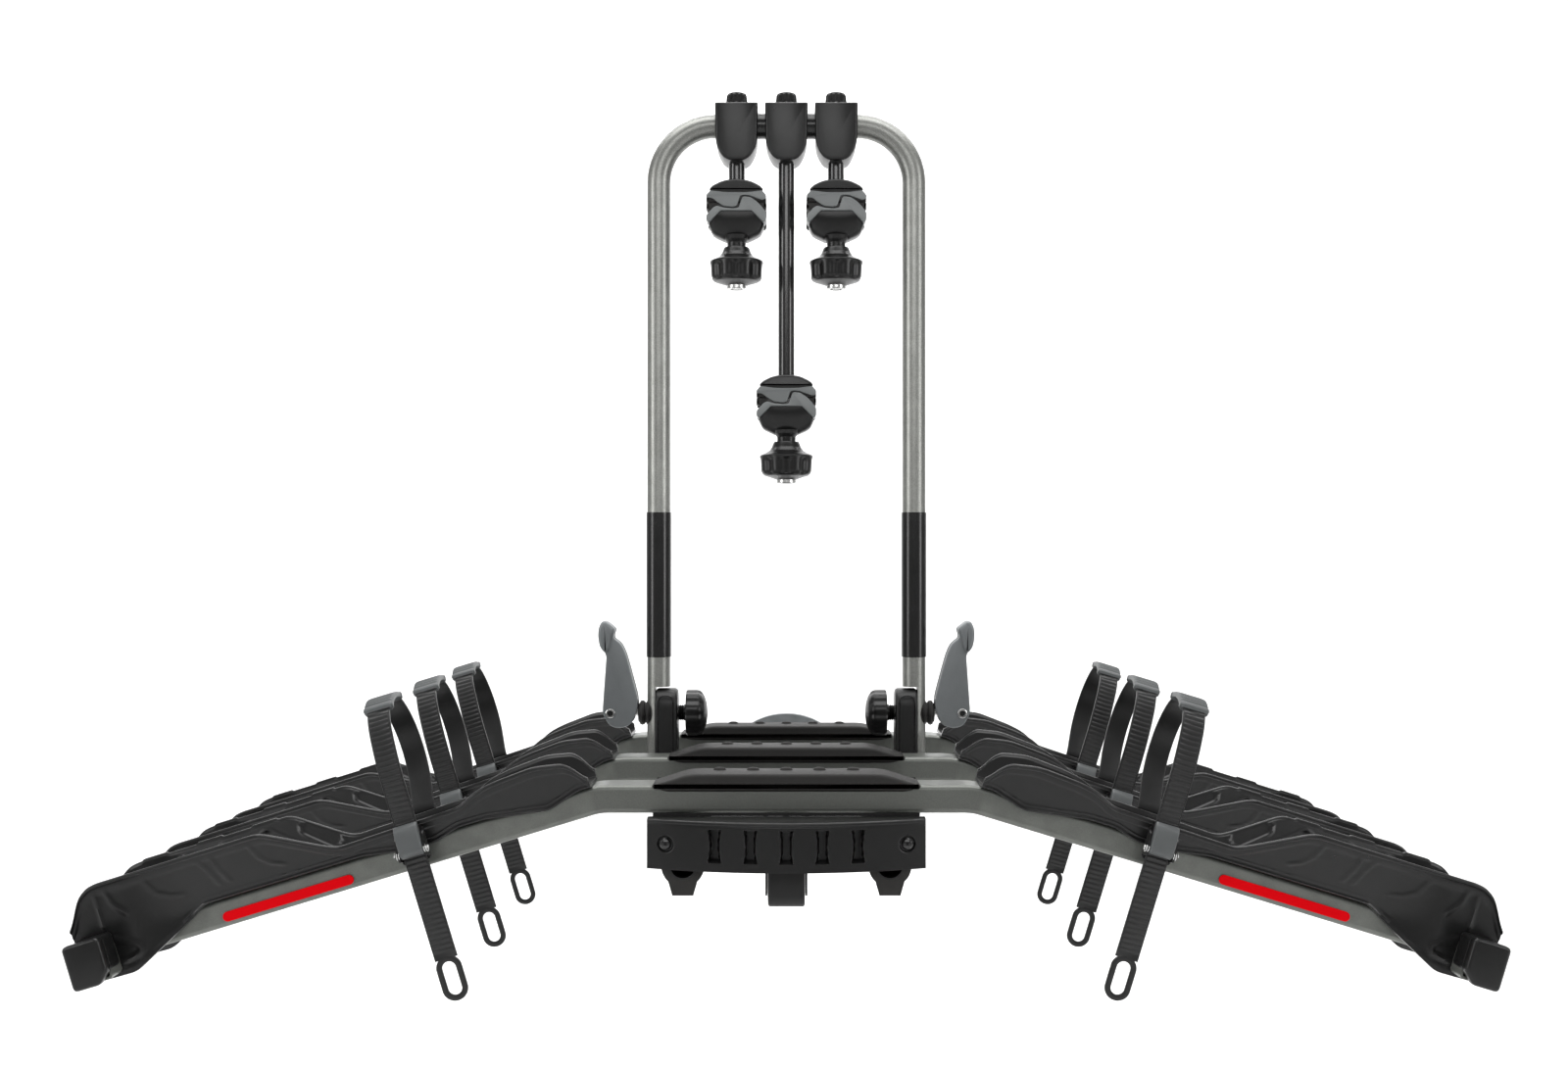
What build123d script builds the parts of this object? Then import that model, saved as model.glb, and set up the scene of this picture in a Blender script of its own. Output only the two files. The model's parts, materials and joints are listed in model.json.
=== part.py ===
from build123d import *
import os
from math import cos, radians, sin, tan

# Hitch mounted platform rack for three bicycles.
# X runs across the car, +Y points at the car and +Z is up; millimetres.
# The origin is the centre of the hitch pin hole in the square shank.
os.makedirs("parts", exist_ok=True)

# ---- driving dimensions -------------------------------------------------
# clearances
RUNNING = 0.05            # radial clearance of everything that turns or slides on a pin
GAP = 0.4                 # air between neighbours that move or are bolted apart

# hitch shank and tilt pivot
SHANK_SIZE = 50.8
SHANK_WALL = 5.0
SHANK_REAR = -165.0
SHANK_FRONT = 62.0
PIN_HOLE_RADIUS = 8.15
TILT_Y = -192.0
TILT_Z = 18.0
TILT_BOLT_RADIUS = 6.0
EAR_THICKNESS = 6.0
EAR_RADIUS = 22.0

# platform rows: three beams 200 mm apart
ROW_PITCH = 200.0
MIDDLE_ROW_Y = -500.0
ROWS = {
    "front": MIDDLE_ROW_Y - ROW_PITCH,
    "middle": MIDDLE_ROW_Y,
    "rear": MIDDLE_ROW_Y + ROW_PITCH,
}
BEAM_BOTTOM = 63.0
BEAM_HEIGHT = 27.0
BEAM_DEPTH = 40.0
BEAM_WALL = 2.0
BEAM_CORNER = 5.0
BEND_X = 178.0            # where the flat middle meets the sloping wings
BEND_RADIUS = 60.0
WING_SLOPE = 16.9         # degrees below level
TIE_U = 483.0             # tie bar centre, measured along the wing
TIE_N = 11.6              # and square to it, from the beam's underside
TIE_WIDTH = 32.0          # along the wing
TIE_HEIGHT = 40.0         # square to it
TIE_WALL = 2.5
TIE_OVERHANG = 68.0       # past the outer beams' centres
BEAM_END_U = TIE_U - TIE_WIDTH / 2 - 0.05

# wheel trays
TRAY_FLOOR = BEAM_HEIGHT + GAP
TRAY_WALL = 3.0
TRAY_FLOOR_HALF = 26.8
TRAY_RIM_HALF = 50.2
TRAY_TOP = 80.0
TRAY_INNER_END = 2.0
TRAY_OUTER_END = 502.4
END_WALL_TOP = 40.0
SKIRT_INSIDE = BEAM_DEPTH / 2 + 0.8
BOSS_HALF_WIDTH = 8.0

# wheel straps
STRAP_U = 175.0
STRAP_WIDTH = 22.0
STRAP_THICKNESS = 3.0
STRAP_TAIL = -127.0
STRAP_FRONT = -40.0       # strap centre in front of its beam's centre
LOOP_WIDTH = 25.0
LOOP_SLOT = 13.0
LOOP_SLOT_LENGTH = 32.0

# mast
MAST_Y = -420.0
PIVOT_Z = 128.0
LEG_X = 146.0
BAR_Z = 799.0
TUBE_RADIUS = 13.25
TUBE_WALL = 2.0
HOOP_RADIUS = 65.0
LEG_FLAT_X = 149.3        # flat face of the flattened leg end
LEG_FLAT_TOP = 158.0
LEG_BOTTOM = 80.0
MAST_BOLT_RADIUS = 4.0
SLEEVE_WALL = 0.95
SLEEVE_LOW = 192.0
SLEEVE_HIGH = 357.0
CAM_X = 200.4             # lever pin, outboard of the leg

# bike arms: name, offset along the bar, drop from the bar to the jaws' parting plane
HEAD_PITCH = 56.7
SHORT_DROP = 91.5
LONG_DROP = SHORT_DROP + 221.0
ARMS = {
    "left": (-HEAD_PITCH, SHORT_DROP),
    "middle": (0.0, LONG_DROP),
    "right": (HEAD_PITCH, SHORT_DROP),
}
ROD_RADIUS = 9.25
HEAD_WIDTH = 48.0
HEAD_DEPTH = 46.0
HEAD_TOP = 22.0
HEAD_BOTTOM = -44.0
CLAMP_HALF_WIDTH = 34.0
GROOVE_RADIUS = 10.0
GROOVE_Y = 11.0           # frame tube groove, behind the arm's centre
STUD_Y = -9.0             # clamp screw, in front of the groove
STUD_RADIUS = 4.0

SIDES = {"left": -1, "right": 1}
SLOPE_COS = cos(radians(WING_SLOPE))
SLOPE_SIN = sin(radians(WING_SLOPE))


# ---- places on the sloping wings ----------------------------------------
def wing_point(side, u, n, y):
    """A point u along the wing from the bend and n above the beam's underside."""
    x = side * (BEND_X + u * SLOPE_COS + n * SLOPE_SIN)
    return (x, y, BEAM_BOTTOM - u * SLOPE_SIN + n * SLOPE_COS)


def wing_side(side, y):
    """Plane seen from the front: x runs down the wing, y stands square to it."""
    return Plane(
        origin=wing_point(side, 0, 0, y),
        x_dir=(side * SLOPE_COS, 0, -SLOPE_SIN),
        z_dir=(0, -side, 0),
    )


def wing_section(side, u, y):
    """Plane across the wing: x is +Y, y stands square to the wing."""
    return Plane(
        origin=wing_point(side, u, 0, y),
        x_dir=(0, 1, 0),
        z_dir=(SLOPE_COS, 0, -side * SLOPE_SIN),
    )


def save(builder, name):
    """Label a finished piece and write it as one STEP file."""
    builder.part.label = name
    export_step(builder.part, f"parts/{name}.step")


# ---- hitch side ----------------------------------------------------------
SHANK_HALF = SHANK_SIZE / 2
EAR_INNER = SHANK_HALF
EAR_OUTER = EAR_INNER + EAR_THICKNESS
LEVER_PIVOT_Y = -128.0
LEVER_PIVOT_Z = 38.0
LEVER_HALF_WIDTH = 15.5
LUG_THICKNESS = 5.0
LEVER_PIN_RADIUS = 4.0

with BuildPart() as hitch_shank:
    with BuildSketch(Plane.XZ.offset(-SHANK_FRONT)):
        RectangleRounded(SHANK_SIZE, SHANK_SIZE, 5)
        inner = SHANK_SIZE - 2 * SHANK_WALL
        Rectangle(inner, inner, mode=Mode.SUBTRACT)
    extrude(amount=SHANK_FRONT - SHANK_REAR)
    # hitch pin hole through both walls
    with Locations(Plane.YZ):
        Hole(PIN_HOLE_RADIUS)
    # the pair of welded pivot ears, with rounded ends round the tilt bolt
    for side in SIDES.values():
        with BuildSketch(Plane.YZ.offset(side * (EAR_INNER + EAR_OUTER) / 2)):
            with Locations((TILT_Y, TILT_Z)):
                Circle(EAR_RADIUS)
            with Locations(((TILT_Y + SHANK_REAR + 45) / 2, 4)):
                Rectangle(SHANK_REAR + 45 - TILT_Y, 36)
            with Locations((TILT_Y, TILT_Z)):
                Circle(TILT_BOLT_RADIUS + RUNNING, mode=Mode.SUBTRACT)
        extrude(amount=EAR_THICKNESS / 2, both=True)
        # lug that carries the tension lever
        lug_x = side * (LEVER_HALF_WIDTH + GAP + LUG_THICKNESS / 2)
        with BuildSketch(Plane.YZ.offset(lug_x)):
            with Locations((LEVER_PIVOT_Y, (SHANK_HALF + LEVER_PIVOT_Z) / 2)):
                Rectangle(20, LEVER_PIVOT_Z - SHANK_HALF + 1)
            with Locations((LEVER_PIVOT_Y, LEVER_PIVOT_Z)):
                Circle(10)
                Circle(LEVER_PIN_RADIUS + RUNNING, mode=Mode.SUBTRACT)
        extrude(amount=LUG_THICKNESS / 2, both=True)
save(hitch_shank, "hitch_shank")

YOKE_INNER = EAR_OUTER + GAP
YOKE_THICKNESS = 6.0
YOKE_OUTER = YOKE_INNER + YOKE_THICKNESS

with BuildPart() as tilt_bolt:
    # hexagon head, plain shank and hexagon nut
    bolt_reach = YOKE_OUTER + GAP
    with BuildSketch(Plane.YZ.offset(-bolt_reach)):
        with Locations((TILT_Y, TILT_Z)):
            RegularPolygon(11, 6)
    extrude(amount=-8)
    with BuildSketch(Plane.YZ.offset(-bolt_reach)):
        with Locations((TILT_Y, TILT_Z)):
            Circle(TILT_BOLT_RADIUS)
    extrude(amount=2 * bolt_reach + 12)
    with BuildSketch(Plane.YZ.offset(bolt_reach)):
        with Locations((TILT_Y, TILT_Z)):
            RegularPolygon(11, 6)
    extrude(amount=10)
save(tilt_bolt, "tilt_bolt")

with BuildPart() as tension_lever:
    # narrow hub between the lugs, then a wide domed hand plate
    with BuildSketch(Plane.YZ):
        with Locations((LEVER_PIVOT_Y, LEVER_PIVOT_Z)):
            Circle(9)
        with Locations((LEVER_PIVOT_Y, LEVER_PIVOT_Z + 18)):
            Rectangle(10, 36)
    extrude(amount=LEVER_HALF_WIDTH, both=True)
    with BuildSketch(Plane.XZ.offset(-LEVER_PIVOT_Y)):
        with BuildLine():
            Polyline((-45, 84), (-20, 60), (20, 60), (45, 84))
            ThreePointArc((45, 84), (0, 96), (-45, 84))
        make_face()
    extrude(amount=7, both=True)
    pin_plane = Plane.YZ.offset(-(LEVER_HALF_WIDTH + GAP + LUG_THICKNESS))
    with BuildSketch(pin_plane):
        with Locations((LEVER_PIVOT_Y, LEVER_PIVOT_Z)):
            Circle(LEVER_PIN_RADIUS)
    extrude(amount=2 * (LEVER_HALF_WIDTH + GAP + LUG_THICKNESS))
save(tension_lever, "tension_lever")

# ---- centre frame under the beams ---------------------------------------
FRAME_HALF = 128.0
FRAME_PLATE = 3.0
FRAME_TOP = BEAM_BOTTOM
FRAME_LOW = 14.0
FRAME_FRONT = -716.0
FRAME_REAR = -232.0
RAIL_X = 98.0
RAIL_Z = 16.5
RAIL_RADIUS = 14.0
RAIL_WALL = 2.0
RAIL_FRONT = -735.0
PEDAL_HALF = 17.8
PEDAL_PLATE_X = 19.2
PEDAL_PIVOT_Y = -702.0
PEDAL_PIVOT_Z = 6.0
PEDAL_PIN_RADIUS = 3.0
LATCH_ROD_RADIUS = 4.0
LATCH_ROD_Z = 17.0
frame_length = FRAME_REAR - FRAME_FRONT

with BuildPart() as centre_frame:
    # folded channel, open underneath
    with BuildSketch(Plane.XZ.offset(-FRAME_REAR)):
        with BuildLine():
            Polyline(
                (0, FRAME_TOP),
                (FRAME_HALF, FRAME_TOP),
                (FRAME_HALF, FRAME_LOW),
                (FRAME_HALF - FRAME_PLATE, FRAME_LOW),
                (FRAME_HALF - FRAME_PLATE, FRAME_TOP - FRAME_PLATE),
                (0, FRAME_TOP - FRAME_PLATE),
            )
            mirror(about=Plane.YZ)
        make_face()
    extrude(amount=frame_length)
    # rear wall, cut for the rails and the latch rod
    with BuildSketch(Plane.XZ.offset(-FRAME_REAR)):
        with Locations((0, (FRAME_TOP - 6) / 2)):
            Rectangle(2 * FRAME_HALF, FRAME_TOP + 6)
        with Locations((0, LATCH_ROD_Z)):
            Circle(LATCH_ROD_RADIUS + RUNNING, mode=Mode.SUBTRACT)
    extrude(amount=FRAME_PLATE)
    # saddles that carry the beams on the rails
    for row_y in ROWS.values():
        for side in SIDES.values():
            with BuildSketch(Plane.XZ.offset(-(row_y + 14))):
                with Locations((side * RAIL_X, (26 + FRAME_TOP - FRAME_PLATE) / 2)):
                    Rectangle(26, FRAME_TOP - FRAME_PLATE - 26 + 1)
                with Locations((side * RAIL_X, RAIL_Z)):
                    Circle(RAIL_RADIUS + RUNNING, mode=Mode.SUBTRACT)
            extrude(amount=28)
    for side in SIDES.values():
        # yoke plates outside the hitch ears
        with BuildSketch(Plane.YZ.offset(side * (YOKE_INNER + YOKE_OUTER) / 2)):
            with Locations((TILT_Y, TILT_Z)):
                Circle(20)
            with Locations(((TILT_Y + FRAME_REAR - 1) / 2, TILT_Z)):
                Rectangle(TILT_Y - FRAME_REAR + 1, 40)
            with Locations((TILT_Y, TILT_Z)):
                Circle(TILT_BOLT_RADIUS + RUNNING, mode=Mode.SUBTRACT)
        extrude(amount=YOKE_THICKNESS / 2, both=True)
        # pedal cheeks hanging from the top plate
        with BuildSketch(Plane.YZ.offset(side * PEDAL_PLATE_X)):
            with BuildLine():
                Polyline(
                    (FRAME_FRONT, FRAME_TOP - 1),
                    (FRAME_FRONT, -14),
                    (FRAME_FRONT + 3, -17),
                    (FRAME_FRONT + 22, -17),
                    (FRAME_FRONT + 40, FRAME_TOP - 1),
                    close=True,
                )
            make_face()
            with Locations((PEDAL_PIVOT_Y, PEDAL_PIVOT_Z)):
                Circle(PEDAL_PIN_RADIUS + RUNNING, mode=Mode.SUBTRACT)
        extrude(amount=1, both=True)
        # front tab behind each cover screw
        with BuildSketch(Plane.XZ.offset(-(FRAME_FRONT + 3))):
            with Locations((side * 114, 46)):
                Rectangle(24, 32)
            with Locations((side * 114, 38)):
                Circle(2.6, mode=Mode.SUBTRACT)
        extrude(amount=3)
save(centre_frame, "centre_frame")

with BuildPart() as frame_rails:
    with BuildSketch(Plane.XZ.offset(-(FRAME_REAR - FRAME_PLATE - GAP))):
        with Locations((-RAIL_X, RAIL_Z), (RAIL_X, RAIL_Z)):
            Circle(RAIL_RADIUS)
            Circle(RAIL_RADIUS - RAIL_WALL, mode=Mode.SUBTRACT)
    extrude(amount=FRAME_REAR - FRAME_PLATE - GAP - RAIL_FRONT)
save(frame_rails, "frame_rails")

with BuildPart() as rail_feet:
    # ring on each rail end with a tapered foot under it
    for side in SIDES.values():
        with BuildSketch(Plane.XZ.offset(-(RAIL_FRONT + 18))):
            with Locations((side * RAIL_X, RAIL_Z)):
                Circle(20.5)
            with BuildLine():
                Polyline(
                    (side * RAIL_X - 14, 2),
                    (side * RAIL_X - 10, -12),
                    (side * RAIL_X + 10, -12),
                    (side * RAIL_X + 14, 2),
                    close=True,
                )
            make_face()
            with Locations((side * RAIL_X, RAIL_Z)):
                Circle(RAIL_RADIUS + RUNNING, mode=Mode.SUBTRACT)
        extrude(amount=18)
save(rail_feet, "rail_feet")

COVER_HALF = 132.0
COVER_TOP = 61.0
COVER_SIDE_Y = -735.0
COVER_BOW_Y = -760.0
COVER_WALL = 3.0
COVER_SCREW_X = 114.0
COVER_SCREW_Z = 38.0
SLOT_PITCH = 33.6

with BuildPart() as frame_cover:
    # bowed front wall with short return sides
    with BuildSketch(Plane.XY.offset(FRAME_LOW)):
        with BuildLine():
            ThreePointArc((-COVER_HALF, COVER_SIDE_Y), (0, COVER_BOW_Y), (COVER_HALF, COVER_SIDE_Y))
            Polyline(
                (COVER_HALF, COVER_SIDE_Y),
                (COVER_HALF, -722),
                (COVER_HALF - COVER_WALL, -722),
                (COVER_HALF - COVER_WALL, COVER_SIDE_Y + COVER_WALL),
            )
            ThreePointArc(
                (COVER_HALF - COVER_WALL, COVER_SIDE_Y + COVER_WALL),
                (0, COVER_BOW_Y + COVER_WALL),
                (-COVER_HALF + COVER_WALL, COVER_SIDE_Y + COVER_WALL),
            )
            Polyline(
                (-COVER_HALF + COVER_WALL, COVER_SIDE_Y + COVER_WALL),
                (-COVER_HALF + COVER_WALL, -722),
                (-COVER_HALF, -722),
                (-COVER_HALF, COVER_SIDE_Y),
            )
        make_face()
    extrude(amount=COVER_TOP - FRAME_LOW)
    # top shelf
    with BuildSketch(Plane.XY.offset(COVER_TOP - COVER_WALL)):
        with BuildLine():
            ThreePointArc((-COVER_HALF, COVER_SIDE_Y), (0, COVER_BOW_Y), (COVER_HALF, COVER_SIDE_Y))
            Polyline(
                (COVER_HALF, COVER_SIDE_Y),
                (COVER_HALF, -722),
                (-COVER_HALF, -722),
                (-COVER_HALF, COVER_SIDE_Y),
            )
        make_face()
    extrude(amount=COVER_WALL)
    # screw bosses that reach back to the frame tabs
    with BuildSketch(Plane.XZ.offset(-FRAME_FRONT + 0.2)):
        with Locations((-COVER_SCREW_X, COVER_SCREW_Z), (COVER_SCREW_X, COVER_SCREW_Z)):
            Circle(6)
    extrude(amount=24)
    with BuildSketch(Plane.XZ.offset(-FRAME_FRONT)):
        with Locations((-COVER_SCREW_X, COVER_SCREW_Z), (COVER_SCREW_X, COVER_SCREW_Z)):
            Circle(2.6)
    extrude(amount=40, mode=Mode.SUBTRACT)
    # recess for each screw head
    with BuildSketch(Plane.XZ.offset(738.5)):
        with Locations((-COVER_SCREW_X, COVER_SCREW_Z), (COVER_SCREW_X, COVER_SCREW_Z)):
            Circle(6)
    extrude(amount=10, mode=Mode.SUBTRACT)
    # five upright slots
    with BuildSketch(Plane.XZ.offset(730)):
        with GridLocations(SLOT_PITCH, 1, 5, 1):
            with Locations((0, 38)):
                RectangleRounded(11, 30, 4)
    extrude(amount=40, mode=Mode.SUBTRACT)
save(frame_cover, "frame_cover")

with BuildPart() as cover_screws:
    with BuildSketch(Plane.XZ.offset(738.6)):
        with Locations((-COVER_SCREW_X, COVER_SCREW_Z), (COVER_SCREW_X, COVER_SCREW_Z)):
            Circle(5.5)
    extrude(amount=3.5)
    with BuildSketch(Plane.XZ.offset(-(FRAME_FRONT + 6))):
        with Locations((-COVER_SCREW_X, COVER_SCREW_Z), (COVER_SCREW_X, COVER_SCREW_Z)):
            Circle(2.5)
    extrude(amount=738.6 + FRAME_FRONT + 6)
save(cover_screws, "cover_screws")

with BuildPart() as foot_pedal:
    # tread that hangs below the cover and turns on a pin between the cheeks
    with BuildSketch(Plane.YZ):
        with BuildLine():
            Polyline(
                (PEDAL_PIVOT_Y - 26, 12),
                (PEDAL_PIVOT_Y - 26, -20),
                (PEDAL_PIVOT_Y - 20, -26),
                (PEDAL_PIVOT_Y - 8, -26),
                (PEDAL_PIVOT_Y + 8, 0),
                (PEDAL_PIVOT_Y + 8, 12),
                (PEDAL_PIVOT_Y - 2, 22),
                (PEDAL_PIVOT_Y - 12, 22),
                close=True,
            )
        make_face()
    extrude(amount=PEDAL_HALF, both=True)
    with BuildSketch(Plane.YZ.offset(-PEDAL_PLATE_X - 1)):
        with Locations((PEDAL_PIVOT_Y, PEDAL_PIVOT_Z)):
            Circle(PEDAL_PIN_RADIUS)
    extrude(amount=2 * PEDAL_PLATE_X + 2)
save(foot_pedal, "foot_pedal")

with BuildPart() as latch_rod:
    # pull rod from the pedal back to the tilt pivot
    with BuildSketch(Plane.XZ.offset(-(FRAME_REAR + 14))):
        with Locations((0, LATCH_ROD_Z)):
            Circle(LATCH_ROD_RADIUS)
    extrude(amount=FRAME_REAR + 14 - (PEDAL_PIVOT_Y + 14))
save(latch_rod, "latch_rod")

# ---- beams, tie bars and what is fixed to them ---------------------------
beam_mid_z = BEAM_BOTTOM + BEAM_HEIGHT / 2
# where the centre lines of the flat middle and of a wing would meet
beam_corner_x = BEND_X + BEAM_HEIGHT / 2 * tan(radians(WING_SLOPE / 2))
for row, row_y in ROWS.items():
    with BuildPart() as beam:
        ends = [wing_point(side, BEAM_END_U, BEAM_HEIGHT / 2, row_y) for side in (-1, 1)]
        corners = [(side * beam_corner_x, row_y, beam_mid_z) for side in (-1, 1)]
        with BuildLine() as beam_line:
            FilletPolyline(ends[0], *corners, ends[1], radius=BEND_RADIUS)
        with BuildSketch(Plane(origin=ends[0], x_dir=(0, 1, 0), z_dir=beam_line.line % 0)):
            RectangleRounded(BEAM_DEPTH, BEAM_HEIGHT, BEAM_CORNER)
            RectangleRounded(
                BEAM_DEPTH - 2 * BEAM_WALL,
                BEAM_HEIGHT - 2 * BEAM_WALL,
                BEAM_CORNER - BEAM_WALL,
                mode=Mode.SUBTRACT,
            )
        sweep(path=beam_line.line)
    save(beam, f"beam_{row}")

front_tie_end = ROWS["front"] - TIE_OVERHANG
rear_tie_end = ROWS["rear"] + TIE_OVERHANG

with BuildPart() as tie_bars:
    for side in SIDES.values():
        with BuildSketch(wing_side(side, MIDDLE_ROW_Y)):
            with Locations((TIE_U, TIE_N)):
                RectangleRounded(TIE_WIDTH, TIE_HEIGHT, 4)
                inner_width, inner_height = TIE_WIDTH - 2 * TIE_WALL, TIE_HEIGHT - 2 * TIE_WALL
                RectangleRounded(inner_width, inner_height, 1.5, mode=Mode.SUBTRACT)
        extrude(amount=(rear_tie_end - front_tie_end) / 2, both=True)
save(tie_bars, "tie_bars")

CAP_WIDTH = 36.0
CAP_HEIGHT = 43.0
CAP_THICKNESS = 12.0
CAP_CHAMFER = 11.0
PLUG_WIDTH = TIE_WIDTH - 2 * TIE_WALL - 0.2
PLUG_HEIGHT = TIE_HEIGHT - 2 * TIE_WALL - 0.2

with BuildPart() as tie_bar_caps:
    for side in SIDES.values():
        for end_y, way in ((front_tie_end, -1), (rear_tie_end, 1)):
            # flange with one cut corner, low and towards the middle
            with BuildSketch(wing_side(side, end_y + way * CAP_THICKNESS / 2)):
                with BuildLine():
                    left = TIE_U - CAP_WIDTH / 2
                    right = TIE_U + CAP_WIDTH / 2
                    low = TIE_N - CAP_HEIGHT / 2
                    high = TIE_N + CAP_HEIGHT / 2
                    FilletPolyline(
                        (left + CAP_CHAMFER, low),
                        (right, low),
                        (right, high),
                        (left, high),
                        (left, low + CAP_CHAMFER),
                        radius=4,
                        close=True,
                    )
                make_face()
            extrude(amount=CAP_THICKNESS / 2, both=True)
            # plug inside the tube
            with BuildSketch(wing_side(side, end_y - way * 10)):
                with Locations((TIE_U, TIE_N)):
                    RectangleRounded(PLUG_WIDTH, PLUG_HEIGHT, 1.5)
            extrude(amount=10.5, both=True)
save(tie_bar_caps, "tie_bar_caps")

with BuildPart() as reflectors:
    for side in SIDES.values():
        face_y = ROWS["front"] - BEAM_DEPTH / 2
        with BuildSketch(wing_side(side, face_y - 0.8)):
            with Locations((308, 9.5)):
                SlotOverall(130, 9.4)
        extrude(amount=0.75, both=True)
save(reflectors, "reflectors")

PAD_HALF = 130.0
PAD_FLAT_HALF = 93.0
PAD_HEIGHT = 11.0
BUMP_PITCH = 32.4
beam_top = BEAM_BOTTOM + BEAM_HEIGHT

with BuildPart() as centre_pads:
    for row_y in ROWS.values():
        # pad with sloping pointed ends, saddled over the beam
        with BuildSketch(Plane.XZ.offset(-row_y)):
            with BuildLine():
                Polyline(
                    (-PAD_HALF, beam_top - 0.5),
                    (-PAD_FLAT_HALF, beam_top + PAD_HEIGHT),
                    (PAD_FLAT_HALF, beam_top + PAD_HEIGHT),
                    (PAD_HALF, beam_top - 0.5),
                    (PAD_HALF - 14, beam_top - 6),
                    (-PAD_HALF + 14, beam_top - 6),
                    close=True,
                )
            make_face()
        extrude(amount=22.5, both=True)
        with BuildSketch(Plane.YZ.offset(-PAD_HALF)):
            with Locations((row_y, beam_top + 0.3 - BEAM_HEIGHT / 2)):
                RectangleRounded(BEAM_DEPTH + 0.6, BEAM_HEIGHT, BEAM_CORNER)
        extrude(amount=2 * PAD_HALF, mode=Mode.SUBTRACT)
        # five low grip bumps along the top
        with BuildSketch(Plane.XY.offset(beam_top + PAD_HEIGHT - 0.5)):
            with Locations((0, row_y + 9)):
                with GridLocations(BUMP_PITCH, 1, 5, 1):
                    SlotOverall(13, 7)
        extrude(amount=3)
save(centre_pads, "centre_pads")

# ---- wheel trays ---------------------------------------------------------
# top rim of a tray, (along the wing, above the beam's underside)
TRAY_RIM = [
    (0, 33),
    (14, 56),
    (44, 62),
    (85, 59),
    (104, 55.5),
    (124, 45.5),
    (245, 42),
    (257, 48),
    (307, 78),
    (470, 77),
    (480, 73.5),
    (490, 63),
    (499, 43),
    (TRAY_OUTER_END, 38),
]
# skirts that hang beside the beam: near the bend, at the strap and round the tie bar
TRAY_SKIRTS = [
    [(13, 29), (44.5, 17), (74, 21.6), (110, 29)],
    [(130, 29), (156, 20), (187, 20), (230, 29)],
    [(381, 29), (415, 9), (440, -5), (455, -14), (480, -12), (TRAY_OUTER_END, -9), (TRAY_OUTER_END, 38)],
]


def tray_wall_half(n):
    """Outer half width of the flared trough at height n."""
    rise = (n - TRAY_FLOOR) / (TRAY_TOP - TRAY_FLOOR)
    return TRAY_FLOOR_HALF + rise * (TRAY_RIM_HALF - TRAY_FLOOR_HALF)


def make_tray(side, row_y):
    """One wheel tray: a flared trough cut to the rim line, skirts, end wall and bosses."""
    with BuildPart() as tray:
        with BuildSketch(wing_section(side, TRAY_INNER_END, row_y)):
            with BuildLine():
                Polyline(
                    (0, TRAY_FLOOR),
                    (TRAY_FLOOR_HALF, TRAY_FLOOR),
                    (TRAY_RIM_HALF, TRAY_TOP),
                    (TRAY_RIM_HALF - TRAY_WALL, TRAY_TOP),
                    (TRAY_FLOOR_HALF - TRAY_WALL, TRAY_FLOOR + TRAY_WALL),
                    (0, TRAY_FLOOR + TRAY_WALL),
                )
                mirror(about=Plane.YZ)
            make_face()
        extrude(amount=side * (TRAY_OUTER_END - TRAY_INNER_END))
        with BuildSketch(wing_side(side, row_y)):
            with BuildLine():
                Polyline((TRAY_OUTER_END, 20), (0, 20), *TRAY_RIM, close=True)
            make_face()
        extrude(amount=TRAY_RIM_HALF + 1, both=True, mode=Mode.INTERSECT)
        for edge in (-1, 1):
            skirt_y = row_y + edge * (SKIRT_INSIDE + TRAY_WALL / 2)
            with BuildSketch(wing_side(side, skirt_y)):
                for outline in TRAY_SKIRTS:
                    with BuildLine():
                        Polyline(*outline, close=True)
                    make_face()
            extrude(amount=TRAY_WALL / 2, both=True)
            # boss that the buckle or the strap's fixed end is riveted to
            boss_outer = abs(STRAP_FRONT) - STRAP_THICKNESS / 2 - 2.8
            boss_mid = row_y + edge * (SKIRT_INSIDE + boss_outer) / 2
            with BuildSketch(wing_side(side, boss_mid)):
                with Locations((STRAP_U, 26)):
                    Rectangle(2 * BOSS_HALF_WIDTH, 14)
            extrude(amount=(boss_outer - SKIRT_INSIDE) / 2, both=True)
        # way through for the tie bar
        with BuildSketch(wing_side(side, row_y)):
            with Locations((TIE_U, TIE_N)):
                Rectangle(TIE_WIDTH + 1, TIE_HEIGHT + 1)
        extrude(amount=TRAY_RIM_HALF, both=True, mode=Mode.SUBTRACT)
        # step over the tie bar, and the end wall
        step = TIE_N + TIE_HEIGHT / 2 + 0.6
        step_half = tray_wall_half(step) - 1
        riser = TIE_U - TIE_WIDTH / 2 - 1 - TRAY_WALL
        with BuildSketch(wing_side(side, row_y)):
            with BuildLine():
                Polyline(
                    (riser, TRAY_FLOOR),
                    (riser, step + TRAY_WALL),
                    (TRAY_OUTER_END, step + TRAY_WALL),
                    (TRAY_OUTER_END, step),
                    (riser + TRAY_WALL, step),
                    (riser + TRAY_WALL, TRAY_FLOOR),
                    close=True,
                )
            make_face()
        extrude(amount=step_half, both=True)
        with BuildSketch(wing_section(side, TRAY_OUTER_END - TRAY_WALL, row_y)):
            with BuildLine():
                low = tray_wall_half(step) - 0.5
                high = tray_wall_half(END_WALL_TOP) - 0.5
                Polyline(
                    (-low, step), (-high, END_WALL_TOP), (high, END_WALL_TOP), (low, step), close=True
                )
            make_face()
            with Locations((0, (step - 8) / 2)):
                Rectangle(2 * (SKIRT_INSIDE + TRAY_WALL), step + 8)
        extrude(amount=side * TRAY_WALL)
    return tray


for row, row_y in ROWS.items():
    for name, side in SIDES.items():
        save(make_tray(side, row_y), f"tray_{row}_{name}")

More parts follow.
